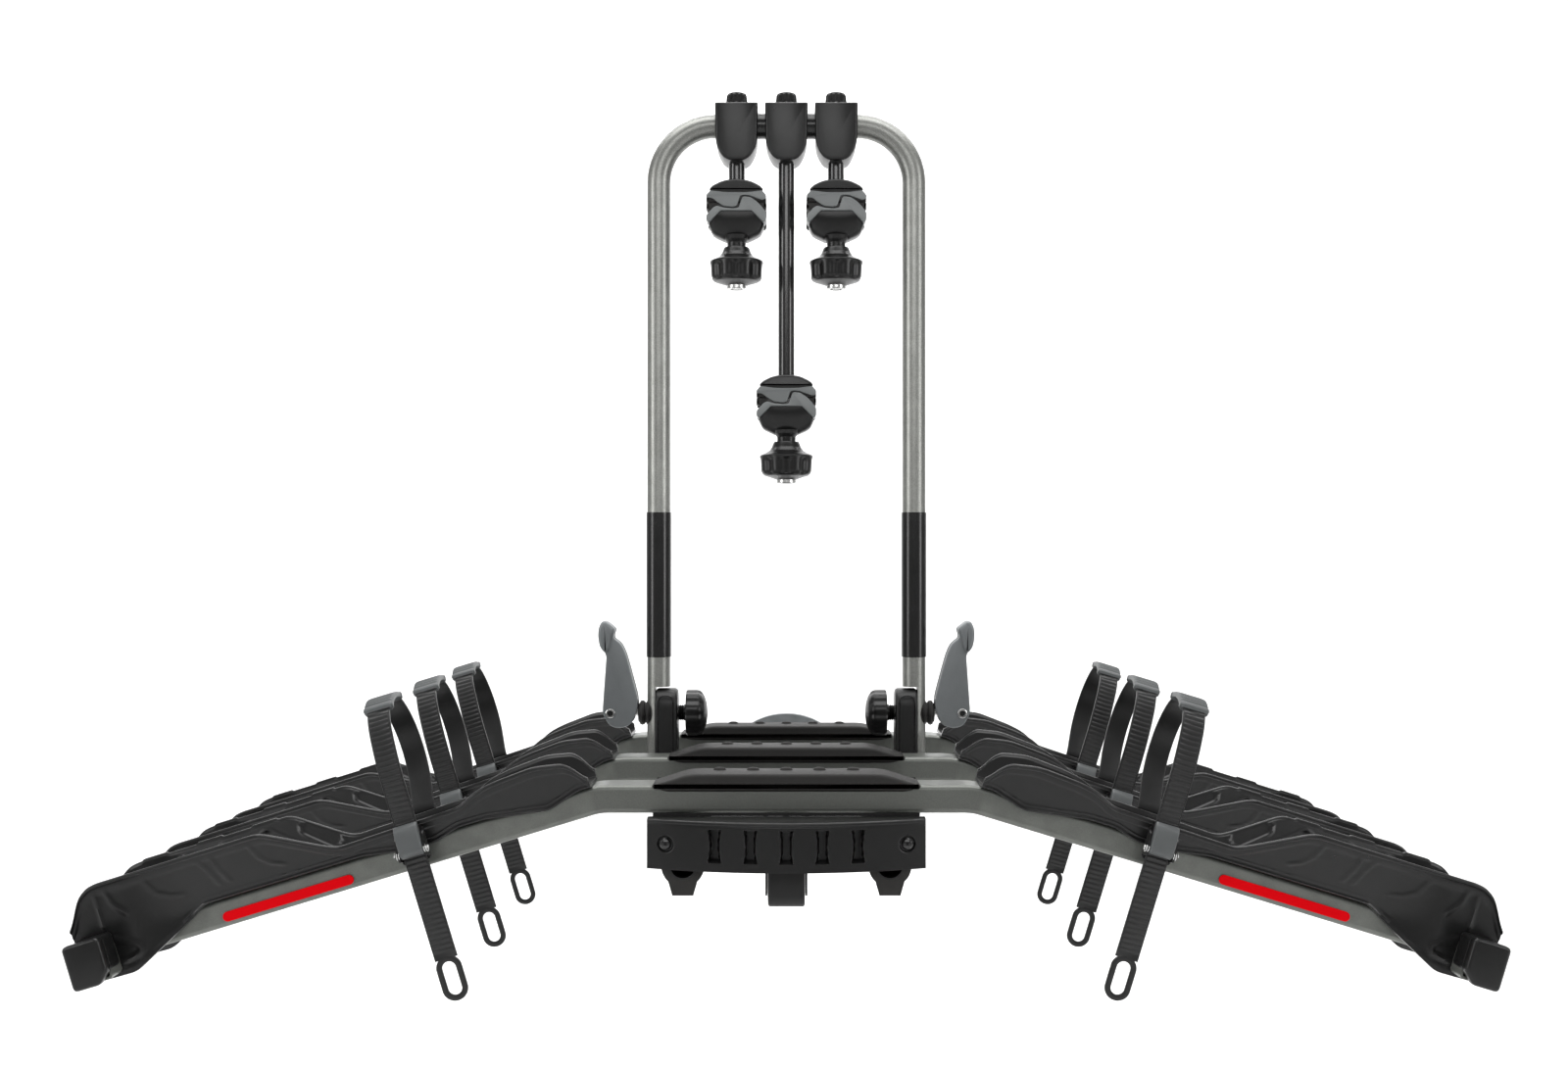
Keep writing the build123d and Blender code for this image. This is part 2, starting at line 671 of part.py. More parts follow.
# ---- wheel straps and buckles --------------------------------------------
# the strap's centre line, as (turn in degrees, radius) after the straight front run
STRAP_STRAIGHT_TOP = 80.0
STRAP_TURNS = [(20, 160), (110, 46), (85, 62)]
STRAP_RETURN = 38.8       # where the rear run comes straight down behind the tray
STRAP_RETURN_RADIUS = 12.0
STRAP_FIXED_END = 18.0


def strap_line():
    """Centre line from the tail up the front, over the wheel and down behind the tray."""
    start = (STRAP_FRONT, STRAP_TAIL + LOOP_WIDTH / 2)
    top = (STRAP_FRONT, STRAP_STRAIGHT_TOP)
    Line(start, top)
    heading = 0.0
    point = Vector(*top)
    for turn, radius in STRAP_TURNS:
        tangent = (sin(radians(heading)), cos(radians(heading)))
        arc = JernArc(start=point, tangent=tangent, radius=radius, arc_size=-turn)
        point = arc @ 1
        heading += turn
    # a straight run in to the tray, then one small arc back to straight down
    lean = heading - 180
    run_x = point.X - STRAP_RETURN - STRAP_RETURN_RADIUS * (1 - cos(radians(lean)))
    run_n = run_x / sin(radians(lean)) * cos(radians(lean))
    knee = Vector(point.X - run_x, point.Y - run_n)
    Line(point, knee)
    tangent = (sin(radians(heading)), cos(radians(heading)))
    last = JernArc(start=knee, tangent=tangent, radius=STRAP_RETURN_RADIUS, arc_size=lean)
    Line(last @ 1, (STRAP_RETURN, STRAP_FIXED_END))


for name, side in SIDES.items():
    with BuildPart() as straps:
        for row_y in ROWS.values():
            with BuildSketch(wing_section(side, STRAP_U, row_y)):
                with BuildLine() as centre_line:
                    strap_line()
                trace(line_width=STRAP_THICKNESS)
            extrude(amount=STRAP_WIDTH / 2, both=True)
            # finger loop at the tail, wider than the strap
            loop_side = wing_side(side, row_y + STRAP_FRONT)
            loop_length = LOOP_SLOT_LENGTH + LOOP_WIDTH - LOOP_SLOT
            loop_n = STRAP_TAIL + loop_length / 2
            with BuildSketch(loop_side):
                with Locations((STRAP_U, loop_n)):
                    SlotOverall(loop_length, LOOP_WIDTH, rotation=90)
            extrude(amount=STRAP_THICKNESS / 2, both=True)
            with BuildSketch(loop_side):
                with Locations((STRAP_U, loop_n)):
                    SlotOverall(LOOP_SLOT_LENGTH, LOOP_SLOT, rotation=90)
            extrude(amount=STRAP_THICKNESS, both=True, mode=Mode.SUBTRACT)
            # two fixing holes at the fixed end
            with BuildSketch(wing_side(side, row_y + STRAP_RETURN)):
                with Locations((STRAP_U, 26), (STRAP_U, 37)):
                    Circle(2.2)
            extrude(amount=STRAP_THICKNESS, both=True, mode=Mode.SUBTRACT)
    save(straps, f"straps_{name}")
strap_length = sum(edge.length for edge in centre_line.edges()) + LOOP_WIDTH / 2
print(f"strap length along its centre: {strap_length:.0f} mm")

# sleeve over the top of each strap that keeps it off the wheel rim
RIM_PAD_WIDTH = 28.0
RIM_PAD_ARC = 62.0
first_turn, first_radius = STRAP_TURNS[0]
arch_radius = STRAP_TURNS[1][1]
arch_y = STRAP_FRONT + first_radius - (first_radius - arch_radius) * cos(radians(first_turn))
arch_n = STRAP_STRAIGHT_TOP + (first_radius - arch_radius) * sin(radians(first_turn))

with BuildPart() as rim_pads:
    for side in SIDES.values():
        for row_y in ROWS.values():
            section = wing_section(side, STRAP_U, row_y)
            reach = STRAP_THICKNESS / 2
            middle = 86.0
            with BuildSketch(section):
                with BuildLine():
                    CenterArc((arch_y, arch_n), arch_radius, middle - RIM_PAD_ARC / 2, RIM_PAD_ARC)
                trace(line_width=2 * reach + 5)
            extrude(amount=RIM_PAD_WIDTH / 2, both=True)
            with BuildSketch(section):
                with BuildLine():
                    CenterArc((arch_y, arch_n), arch_radius, middle - RIM_PAD_ARC, 2 * RIM_PAD_ARC)
                trace(line_width=2 * reach + 0.6)
            extrude(amount=STRAP_WIDTH / 2 + 0.4, both=True, mode=Mode.SUBTRACT)
save(rim_pads, "rim_pads")

BUCKLE_PIN_N = 20.0
BUCKLE_PIN_Y = STRAP_FRONT - 6.0
BUCKLE_PIN_RADIUS = 2.0
BUCKLE_INSIDE = STRAP_WIDTH / 2 + 1.0
CHEEK = 2.0
BASE_BACK = STRAP_FRONT + STRAP_THICKNESS / 2 + 2.6

with BuildPart() as buckle_bases:
    for side in SIDES.values():
        for row_y in ROWS.values():
            # back plate behind the strap
            with BuildSketch(wing_side(side, row_y + BASE_BACK - 1.1)):
                with Locations((STRAP_U, 25)):
                    RectangleRounded(2 * (BUCKLE_INSIDE + CHEEK), 32, 3)
            extrude(amount=1.0, both=True)
            # cheeks with the pin holes
            for edge in (-1, 1):
                cheek_u = STRAP_U + edge * (BUCKLE_INSIDE + CHEEK / 2)
                with BuildSketch(wing_section(side, cheek_u, row_y)):
                    with BuildLine():
                        Polyline(
                            (BASE_BACK - 1, 12),
                            (BUCKLE_PIN_Y - 2, 14),
                            (BUCKLE_PIN_Y - 3, 24),
                            (BUCKLE_PIN_Y + 2, 34),
                            (BASE_BACK - 1, 38),
                            close=True,
                        )
                    make_face()
                    with Locations((BUCKLE_PIN_Y, BUCKLE_PIN_N)):
                        Circle(BUCKLE_PIN_RADIUS + RUNNING, mode=Mode.SUBTRACT)
                extrude(amount=CHEEK / 2, both=True)
save(buckle_bases, "buckle_bases")


def make_buckle_lever(side, row_y):
    """Curved release lever with its pin, between the cheeks."""
    half = BUCKLE_INSIDE - 0.4
    with BuildPart() as lever:
        with BuildSketch(wing_section(side, STRAP_U, row_y)):
            with BuildLine():
                Polyline(
                    (BUCKLE_PIN_Y + 3, 17),
                    (BUCKLE_PIN_Y - 1, 15.5),
                    (BUCKLE_PIN_Y - 5, 20),
                    (BUCKLE_PIN_Y - 4, 40),
                    (BUCKLE_PIN_Y + 1, 46),
                    (BUCKLE_PIN_Y + 3, 44),
                    close=True,
                )
            make_face()
        extrude(amount=half, both=True)
        with BuildSketch(wing_section(side, STRAP_U, row_y)):
            with Locations((BUCKLE_PIN_Y, BUCKLE_PIN_N)):
                Circle(BUCKLE_PIN_RADIUS)
        extrude(amount=BUCKLE_INSIDE + CHEEK + 1, both=True)
    return lever


for row, row_y in ROWS.items():
    for name, side in SIDES.items():
        save(make_buckle_lever(side, row_y), f"buckle_lever_{row}_{name}")

# ---- mast and its quick release ------------------------------------------
BRACKET_INNER = 124.0
BRACKET_OUTER = 149.0
BRACKET_HALF_DEPTH = 22.5
BRACKET_TOP = PIVOT_Z + 28.0

with BuildPart() as mast_brackets:
    for side in SIDES.values():
        column_x = side * (BRACKET_INNER + BRACKET_OUTER) / 2
        with BuildSketch(Plane.YZ.offset(column_x)):
            round_z = BRACKET_TOP - BRACKET_HALF_DEPTH
            with Locations((MAST_Y, (FRAME_TOP + round_z) / 2)):
                Rectangle(2 * BRACKET_HALF_DEPTH, round_z - FRAME_TOP)
            with Locations((MAST_Y, round_z)):
                Circle(BRACKET_HALF_DEPTH)
            with Locations((MAST_Y, PIVOT_Z)):
                Circle(MAST_BOLT_RADIUS + RUNNING, mode=Mode.SUBTRACT)
        extrude(amount=(BRACKET_OUTER - BRACKET_INNER) / 2, both=True)
        with BuildSketch(Plane.XY.offset(FRAME_TOP)):
            with Locations((side * (BRACKET_INNER - 13), MAST_Y)):
                Rectangle(28, 52)
        extrude(amount=4)
save(mast_brackets, "mast_brackets")

with BuildPart() as mast_hoop:
    with BuildLine() as hoop_line:
        FilletPolyline(
            (-LEG_X, MAST_Y, LEG_FLAT_TOP),
            (-LEG_X, MAST_Y, BAR_Z),
            (LEG_X, MAST_Y, BAR_Z),
            (LEG_X, MAST_Y, LEG_FLAT_TOP),
            radius=HOOP_RADIUS,
        )
    with BuildSketch(Plane(origin=(-LEG_X, MAST_Y, LEG_FLAT_TOP), z_dir=(0, 0, 1))):
        Circle(TUBE_RADIUS)
        Circle(TUBE_RADIUS - TUBE_WALL, mode=Mode.SUBTRACT)
    sweep(path=hoop_line.line)
    # flattened leg ends that stand outside the brackets
    for side in SIDES.values():
        with BuildSketch(Plane.XY.offset(LEG_BOTTOM)):
            with Locations((side * LEG_X, MAST_Y)):
                Circle(TUBE_RADIUS)
            with Locations((side * (LEG_FLAT_X - 20), MAST_Y)):
                Rectangle(40, 40, mode=Mode.SUBTRACT)
        extrude(amount=LEG_FLAT_TOP - LEG_BOTTOM + 2)
        with BuildSketch(Plane.YZ.offset(side * LEG_FLAT_X)):
            with Locations((MAST_Y, PIVOT_Z)):
                Circle(MAST_BOLT_RADIUS + RUNNING)
        extrude(amount=side * 15, mode=Mode.SUBTRACT)
save(mast_hoop, "mast_hoop")

with BuildPart() as mast_sleeves:
    with BuildSketch(Plane.XY.offset(SLEEVE_LOW)):
        with Locations((-LEG_X, MAST_Y), (LEG_X, MAST_Y)):
            Circle(TUBE_RADIUS + 0.05 + SLEEVE_WALL)
            Circle(TUBE_RADIUS + 0.05, mode=Mode.SUBTRACT)
    extrude(amount=SLEEVE_HIGH - SLEEVE_LOW)
    with BuildSketch(Plane.YZ):
        with Locations((MAST_Y, BAR_Z)):
            Circle(TUBE_RADIUS + 0.05 + SLEEVE_WALL)
            Circle(TUBE_RADIUS + 0.05, mode=Mode.SUBTRACT)
    extrude(amount=LEG_X - HOOP_RADIUS, both=True)
save(mast_sleeves, "mast_sleeves")

CUSHION_INNER = 154.0
CUSHION_OUTER = 169.0
EYE_RADIUS = 8.0
EYE_HALF = 4.5
CAM_PIN_RADIUS = 3.5

with BuildPart() as pivot_cushions:
    for side in SIDES.values():
        with BuildSketch(Plane.YZ.offset(side * CUSHION_INNER)):
            with Locations((MAST_Y, PIVOT_Z)):
                Circle(14)
                Circle(MAST_BOLT_RADIUS + RUNNING, mode=Mode.SUBTRACT)
        extrude(amount=side * (CUSHION_OUTER - CUSHION_INNER))
        # hollowed to the round of the leg
        with BuildSketch(Plane.XY.offset(LEG_BOTTOM)):
            with Locations((side * LEG_X, MAST_Y)):
                Circle(TUBE_RADIUS + 0.05)
        extrude(amount=100, mode=Mode.SUBTRACT)
save(pivot_cushions, "pivot_cushions")

KNOB_OUTER_FACE = 90.0
KNOB_INNER_FACE = 114.5
KNOB_RADIUS = 26.0

with BuildPart() as pivot_bolts:
    # bolt from the hand knob through bracket and leg to the eye round the lever pin
    for side in SIDES.values():
        with BuildSketch(Plane.YZ.offset(side * (KNOB_OUTER_FACE + 5))):
            with Locations((MAST_Y, PIVOT_Z)):
                Circle(MAST_BOLT_RADIUS)
        extrude(amount=side * (CAM_X - EYE_RADIUS + 1 - KNOB_OUTER_FACE - 5))
        with BuildSketch(Plane.XZ.offset(-MAST_Y)):
            with Locations((side * CAM_X, PIVOT_Z)):
                Circle(EYE_RADIUS)
        extrude(amount=EYE_HALF, both=True)
        with BuildSketch(Plane.XZ.offset(-MAST_Y)):
            with Locations((side * CAM_X, PIVOT_Z)):
                Circle(CAM_PIN_RADIUS + RUNNING)
        extrude(amount=EYE_HALF + 1, both=True, mode=Mode.SUBTRACT)
save(pivot_bolts, "pivot_bolts")

LEVER_HALF_THICKNESS = 11.0
FORK_HALF = EYE_HALF + 0.4


def make_cam_lever(side):
    """Forked quick release lever: a tapering plate with a leaning thumb paddle."""
    def at(outward, up):
        return (side * (CAM_X + outward), PIVOT_Z + up)

    with BuildPart() as lever:
        with BuildSketch(Plane.XZ.offset(-MAST_Y)):
            with BuildLine():
                Line(at(9.2, 0), at(4.5, 67))
                Spline(at(4.5, 67), at(10.7, 74), at(13.7, 86), at(13, 97), at(8.5, 106))
                Spline(at(8.5, 106), at(1, 102), at(-5.6, 96), at(-2.7, 86))
                Spline(at(-2.7, 86), at(-11.6, 80), at(-16.8, 69.5), at(-22, 51.7))
                Line(at(-22, 51.7), at(-31, 17.5))
                Spline(at(-31, 17.5), at(-31, 10), at(-28, -1.8), at(-22, -13), at(-11, -17.3))
                Spline(at(-11, -17.3), at(-2, -15.6), at(5, -10), at(9.2, 0))
            make_face()
        extrude(amount=LEVER_HALF_THICKNESS, both=True)
        # fork that the bolt's eye stands in, open inwards and downwards
        with BuildSketch(Plane.XZ.offset(-MAST_Y)):
            with Locations(at(-20, -16)):
                Rectangle(60, 52)
        extrude(amount=FORK_HALF, both=True, mode=Mode.SUBTRACT)
        with BuildSketch(Plane.XZ.offset(-MAST_Y)):
            with Locations(at(0, 0)):
                Circle(CAM_PIN_RADIUS)
        extrude(amount=LEVER_HALF_THICKNESS + 0.5, both=True)
    return lever


def make_mast_knob(side):
    """Domed hand knob with its neck, bored for the pivot bolt."""
    with BuildPart() as knob:
        with BuildSketch(Plane.XZ.offset(-MAST_Y)):
            with BuildLine():
                Polyline(
                    (side * KNOB_OUTER_FACE, PIVOT_Z + 4),
                    (side * KNOB_OUTER_FACE, PIVOT_Z),
                    (side * (BRACKET_INNER - GAP), PIVOT_Z),
                    (side * (BRACKET_INNER - GAP), PIVOT_Z + 9),
                    (side * KNOB_INNER_FACE, PIVOT_Z + 9),
                    (side * KNOB_INNER_FACE, PIVOT_Z + KNOB_RADIUS - 1),
                    (side * (KNOB_INNER_FACE - 1), PIVOT_Z + KNOB_RADIUS),
                    (side * (KNOB_OUTER_FACE + 7), PIVOT_Z + KNOB_RADIUS - 1),
                )
                ThreePointArc(
                    (side * (KNOB_OUTER_FACE + 7), PIVOT_Z + KNOB_RADIUS - 1),
                    (side * (KNOB_OUTER_FACE + 2.2), PIVOT_Z + 15),
                    (side * KNOB_OUTER_FACE, PIVOT_Z + 4),
                )
            make_face()
        revolve(axis=Axis((0, MAST_Y, PIVOT_Z), (1, 0, 0)))
        with BuildSketch(Plane.YZ.offset(side * (KNOB_OUTER_FACE + 4))):
            with Locations((MAST_Y, PIVOT_Z)):
                Circle(MAST_BOLT_RADIUS + RUNNING)
        extrude(amount=side * 40, mode=Mode.SUBTRACT)
    return knob


for name, side in SIDES.items():
    save(make_cam_lever(side), f"cam_lever_{name}")
    save(make_mast_knob(side), f"mast_knob_{name}")

# ---- bike arms -----------------------------------------------------------
SLEEVE_RADIUS = TUBE_RADIUS + 0.05 + SLEEVE_WALL
ROD_SOCKET = 22.0         # how far the rod enters the head
SCREW_RADIUS = 3.0


def make_head(x):
    """Clamp head round the bar: square shoulders, rounded lower end."""
    with BuildPart() as head:
        with BuildSketch(Plane.XZ.offset(-MAST_Y)):
            half = HEAD_WIDTH / 2
            with BuildLine():
                Polyline(
                    (x - half, BAR_Z - 16),
                    (x - half, BAR_Z + HEAD_TOP),
                    (x + half, BAR_Z + HEAD_TOP),
                    (x + half, BAR_Z - 16),
                )
                EllipticalCenterArc(
                    (x, BAR_Z - 16), half, -HEAD_BOTTOM - 16, start_angle=180, arc_size=180
                )
            make_face()
        extrude(amount=HEAD_DEPTH / 2, both=True)
        with BuildSketch(Plane.YZ.offset(x)):
            with Locations((MAST_Y, BAR_Z)):
                Circle(SLEEVE_RADIUS + RUNNING)
        extrude(amount=HEAD_WIDTH, both=True, mode=Mode.SUBTRACT)
        with BuildSketch(Plane.XY.offset(BAR_Z + HEAD_BOTTOM - 1)):
            with Locations((x, MAST_Y)):
                Circle(ROD_RADIUS + RUNNING)
        extrude(amount=ROD_SOCKET + 1, mode=Mode.SUBTRACT)
        with BuildSketch(Plane.XY.offset(BAR_Z)):
            with Locations((x, MAST_Y)):
                Circle(SCREW_RADIUS + RUNNING)
        extrude(amount=HEAD_TOP + 1, mode=Mode.SUBTRACT)
    return head


def make_head_knob(x):
    """Ribbed hand screw on top of a head."""
    with BuildPart() as knob:
        base = BAR_Z + HEAD_TOP + GAP
        with BuildSketch(Plane.XY.offset(base)):
            with Locations((x, MAST_Y)):
                Circle(12.8)
                with PolarLocations(13.6, 12):
                    Circle(1.6, mode=Mode.SUBTRACT)
        extrude(amount=15, taper=6)
        with BuildSketch(Plane.XY.offset(BAR_Z + SLEEVE_RADIUS + 1)):
            with Locations((x, MAST_Y)):
                Circle(SCREW_RADIUS)
        extrude(amount=base - BAR_Z - SLEEVE_RADIUS)
    return knob


def jaw_front(x, parting, upper):
    """Front outline of one jaw half, as a closed line in the XZ plane."""
    half = CLAMP_HALF_WIDTH
    if upper:
        Polyline((x - half, parting + 0.3), (x - half, parting + 8), (x - 29, parting + 17))
        ThreePointArc((x - 29, parting + 17), (x, parting + 26), (x + 29, parting + 17))
        Polyline(
            (x + 29, parting + 17),
            (x + half, parting + 8),
            (x + half, parting + 0.3),
            (x - half, parting + 0.3),
        )
        return
    Polyline(
        (x - half, parting - 0.3),
        (x + half, parting - 0.3),
        (x + half, parting - 20),
        (x + 30.5, parting - 24),
        (x + 30.5, parting - 32),
        (x + 14, parting - 40),
        (x + 10.5, parting - 49),
        (x - 10.5, parting - 49),
        (x - 14, parting - 40),
        (x - 30.5, parting - 32),
        (x - 30.5, parting - 24),
        (x - half, parting - 20),
        close=True,
    )


def jaw_side(parting, upper):
    """Side outline that the front outline is cut to, in the YZ plane."""
    if upper:
        Polyline((MAST_Y - 24, parting + 0.3), (MAST_Y - 24, parting + 12), (MAST_Y - 12, parting + 27))
        Polyline((MAST_Y - 12, parting + 27), (MAST_Y + 14, parting + 27), (MAST_Y + 27, parting + 12))
        Polyline((MAST_Y + 27, parting + 12), (MAST_Y + 27, parting + 0.3), (MAST_Y - 24, parting + 0.3))
        return
    Polyline(
        (MAST_Y - 24, parting - 0.3),
        (MAST_Y + 27, parting - 0.3),
        (MAST_Y + 27, parting - 18),
        (MAST_Y + 8, parting - 40),
        (MAST_Y + 1.5, parting - 49),
        (MAST_Y - 19.5, parting - 49),
        (MAST_Y - 22, parting - 40),
        (MAST_Y - 24, parting - 30),
        close=True,
    )


def make_jaw(x, parting, upper):
    """One half of a frame clamp, with its half of the tube groove."""
    with BuildPart() as jaw:
        with BuildSketch(Plane.XZ.offset(-MAST_Y)):
            with BuildLine():
                jaw_front(x, parting, upper)
            make_face()
        extrude(amount=30, both=True)
        with BuildSketch(Plane.YZ.offset(x)):
            with BuildLine():
                jaw_side(parting, upper)
            make_face()
        extrude(amount=40, both=True, mode=Mode.INTERSECT)
        with BuildSketch(Plane.YZ.offset(x)):
            with Locations((MAST_Y + GROOVE_Y, parting)):
                Circle(GROOVE_RADIUS)
        extrude(amount=40, both=True, mode=Mode.SUBTRACT)
        stud_centre = (x, MAST_Y + STUD_Y)
        if upper:
            # socket for the rod, and the moulded-in clamp stud
            with BuildSketch(Plane.XY.offset(parting + 13)):
                with Locations((x, MAST_Y)):
                    Circle(ROD_RADIUS + RUNNING)
            extrude(amount=20, mode=Mode.SUBTRACT)
            with BuildSketch(Plane.XY.offset(parting - 82)):
                with Locations(stud_centre):
                    Circle(STUD_RADIUS)
            extrude(amount=82 + 6)
        else:
            with BuildSketch(Plane.XY.offset(parting - 50)):
                with Locations(stud_centre):
                    Circle(STUD_RADIUS + RUNNING)
            extrude(amount=50, mode=Mode.SUBTRACT)
    return jaw


def make_clamp_knob(x, parting):
    """Lobed hand knob under a clamp: flared collar, eight scallops, domed underside."""
    with BuildPart() as knob:
        top = parting - 49 - GAP
        with BuildSketch(Plane.XZ.offset(-(MAST_Y + STUD_Y))):
            with BuildLine():
                Polyline((x, top), (x + 14.5, top), (x + 15.5, top - 3))
                ThreePointArc((x + 15.5, top - 3), (x + 19, top - 9.5), (x + 27, top - 14))
                Polyline((x + 27, top - 14), (x + 30.5, top - 17), (x + 29.5, top - 34), (x + 25, top - 38))
                ThreePointArc((x + 25, top - 38), (x + 14, top - 42), (x + 5, top - 43.5))
                Polyline((x + 5, top - 43.5), (x, top - 43.5), (x, top))
            make_face()
        revolve(axis=Axis((x, MAST_Y + STUD_Y, 0), (0, 0, 1)))
        with BuildSketch(Plane.XY.offset(top - 46)):
            with Locations((x, MAST_Y + STUD_Y)):
                with PolarLocations(35.5, 8, start_angle=22.5):
                    Circle(7)
        extrude(amount=31, mode=Mode.SUBTRACT)
        # lock barrel under the knob, and the blind bore for the stud
        with BuildSketch(Plane.XY.offset(top - 47.5)):
            with Locations((x, MAST_Y + STUD_Y)):
                Circle(11)
        extrude(amount=5)
        with BuildSketch(Plane.XY.offset(top - 37)):
            with Locations((x, MAST_Y + STUD_Y)):
                Circle(STUD_RADIUS + RUNNING)
        extrude(amount=38, mode=Mode.SUBTRACT)
    return knob


for name, (x, drop) in ARMS.items():
    parting = BAR_Z - drop
    save(make_head(x), f"head_{name}")
    save(make_head_knob(x), f"head_knob_{name}")
    with BuildPart() as rod:
        with BuildSketch(Plane.XY.offset(parting + 13.2)):
            with Locations((x, MAST_Y)):
                Circle(ROD_RADIUS)
                Circle(ROD_RADIUS - 1.8, mode=Mode.SUBTRACT)
        extrude(amount=BAR_Z + HEAD_BOTTOM + ROD_SOCKET - 0.4 - parting - 13.2)
    save(rod, f"arm_rod_{name}")
    save(make_jaw(x, parting, True), f"jaw_upper_{name}")
    save(make_jaw(x, parting, False), f"jaw_lower_{name}")
    save(make_clamp_knob(x, parting), f"clamp_knob_{name}")
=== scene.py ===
# %% [markdown]
# # Hitch mounted bike rack
#
# This lesson dresses a packed rack for three bicycles. The measured parts come in as a fixed frame: a
# square hitch shank, a folded centre frame, three bent beams and a tilting mast with three clamps. Blender
# adds what those plain solids lack: rolled rims, ribs, ratchet teeth, rounded castings and the finish of
# every surface.
#
# Lengths of the rack are millimetres until a mesh is made, because that is how the parts are drawn. The
# floor, the lights and the camera are in metres. X runs across the car, Y points at the car and Z is up.

# %% Load the frame
import json
import bmesh
import bpy
import numpy as np
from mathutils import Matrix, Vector


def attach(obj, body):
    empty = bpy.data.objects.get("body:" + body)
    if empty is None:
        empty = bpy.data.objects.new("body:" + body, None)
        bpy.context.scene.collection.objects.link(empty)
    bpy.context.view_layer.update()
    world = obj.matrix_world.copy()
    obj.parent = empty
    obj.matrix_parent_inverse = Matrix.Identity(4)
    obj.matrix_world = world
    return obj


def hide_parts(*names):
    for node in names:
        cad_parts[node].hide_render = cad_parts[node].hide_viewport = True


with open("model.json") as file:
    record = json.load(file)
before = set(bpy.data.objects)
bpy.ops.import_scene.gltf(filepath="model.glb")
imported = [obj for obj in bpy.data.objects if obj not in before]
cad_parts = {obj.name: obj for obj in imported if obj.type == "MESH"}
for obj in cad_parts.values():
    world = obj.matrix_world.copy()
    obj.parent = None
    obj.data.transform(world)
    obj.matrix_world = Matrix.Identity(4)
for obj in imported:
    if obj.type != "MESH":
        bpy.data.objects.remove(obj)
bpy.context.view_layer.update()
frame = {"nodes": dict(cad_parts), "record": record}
MM = 0.001

# %% [markdown]
# ## From numbers to a mesh
#
# Most pieces here are a ring of points carried along a path. One way is to push vertices about by hand, but
# a ring worked out as an array is exact, quick and easy to change. A stack of rings becomes a closed skin:
# each ring joins the next, and the first and last rings are filled, or joined to each other where the path
# closes on itself.

# %% Skins from rings
def skin(rings, loop=False):
    """Vertices and faces of a stack of rings. Vertex k of ring i joins vertex k of ring i + 1; with loop
    the last ring joins the first, and otherwise each end is one flat face."""
    count, size = rings.shape[:2]
    i, k = np.meshgrid(np.arange(count if loop else count - 1), np.arange(size), indexing="ij")
    up, along = (i + 1) % count, (k + 1) % size
    quads = np.stack([i * size + k, up * size + k, up * size + along, i * size + along], -1).reshape(-1, 4)
    faces = quads.tolist()
    if not loop:
        faces += [list(range(size)), list(range((count - 1) * size, count * size))]
    return rings.reshape(-1, 3), faces


def put(name, skins, finish, body, stands_for=(), crease=38.0):
    """One closed piece from one or more skins in millimetres, riding on its body."""
    mesh = bpy.data.meshes.new(name)
    starts = np.cumsum([0] + [len(points) for points, _ in skins])
    faces = [[v + start for v in face] for start, (_, some) in zip(starts, skins) for face in some]
    mesh.from_pydata(np.concatenate([points for points, _ in skins]) * MM, [], faces)
    tidy = bmesh.new()
    tidy.from_mesh(mesh)
    bmesh.ops.remove_doubles(tidy, verts=tidy.verts, dist=1e-6)
    bmesh.ops.recalc_face_normals(tidy, faces=tidy.faces)
    tidy.to_mesh(mesh)
    tidy.free()
    mesh.shade_smooth()
    mesh.set_sharp_from_angle(angle=np.radians(crease))
    mesh.materials.append(finish)
    piece = bpy.data.objects.new(name, mesh)
    bpy.context.scene.collection.objects.link(piece)
    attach(piece, body)
    if stands_for:
        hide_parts(*stands_for)
    return piece


# %% Lines, corners and ridges
def ease(x):
    """A smooth step: 0 below 0, 1 above 1, and 3 x squared less 2 x cubed between them."""
    x = np.clip(x, 0, 1)
    return x * x * (3 - 2 * x)


def soften(corners, cut, steps=5):
    """A closed outline whose corners are rounded: a parabola leaves each side at the cut length from the
    corner."""
    corners = np.asarray(corners, float)
    back, on = np.roll(corners, 1, 0) - corners, np.roll(corners, -1, 0) - corners
    reach = np.minimum(np.linalg.norm(back, axis=1), np.linalg.norm(on, axis=1)) / 2.05
    cut = np.minimum(np.broadcast_to(np.asarray(cut, float), reach.shape), reach)[:, None]
    a = corners + back / np.linalg.norm(back, axis=1, keepdims=True) * cut
    b = corners + on / np.linalg.norm(on, axis=1, keepdims=True) * cut
    t = np.linspace(0, 1, steps)[None, :, None]
    curve = (1 - t) ** 2 * a[:, None] + 2 * t * (1 - t) * corners[:, None] + t**2 * b[:, None]
    return curve.reshape(-1, 2)


def inset(outline, amount):
    """The outline moved inwards by an amount, along the mean of the two side normals at each point."""
    side = np.roll(outline, -1, 0) - np.roll(outline, 1, 0)
    side /= np.linalg.norm(side, axis=1, keepdims=True) + 1e-12
    turned = np.stack([-side[:, 1], side[:, 0]], 1)
    x, y = outline.T
    area = np.sum(x * np.roll(y, -1) - np.roll(x, -1) * y)
    return outline + turned * amount * np.sign(area)


def pillow(outline, low, high, edge, steps=5):
    """Rings of an outline drawn from depth low to depth high, whose edges turn over by a quarter circle."""
    turn = np.linspace(0, np.pi / 2, steps)
    depths = np.concatenate([low + edge * (1 - np.cos(turn)), high - edge * (1 - np.cos(turn[::-1]))])
    insets = np.concatenate([edge * (1 - np.sin(turn)), edge * (1 - np.sin(turn[::-1]))])
    flat = np.stack([inset(outline, i) for i in insets])
    return np.concatenate([flat, np.broadcast_to(depths[:, None, None], flat.shape[:2] + (1,))], -1)


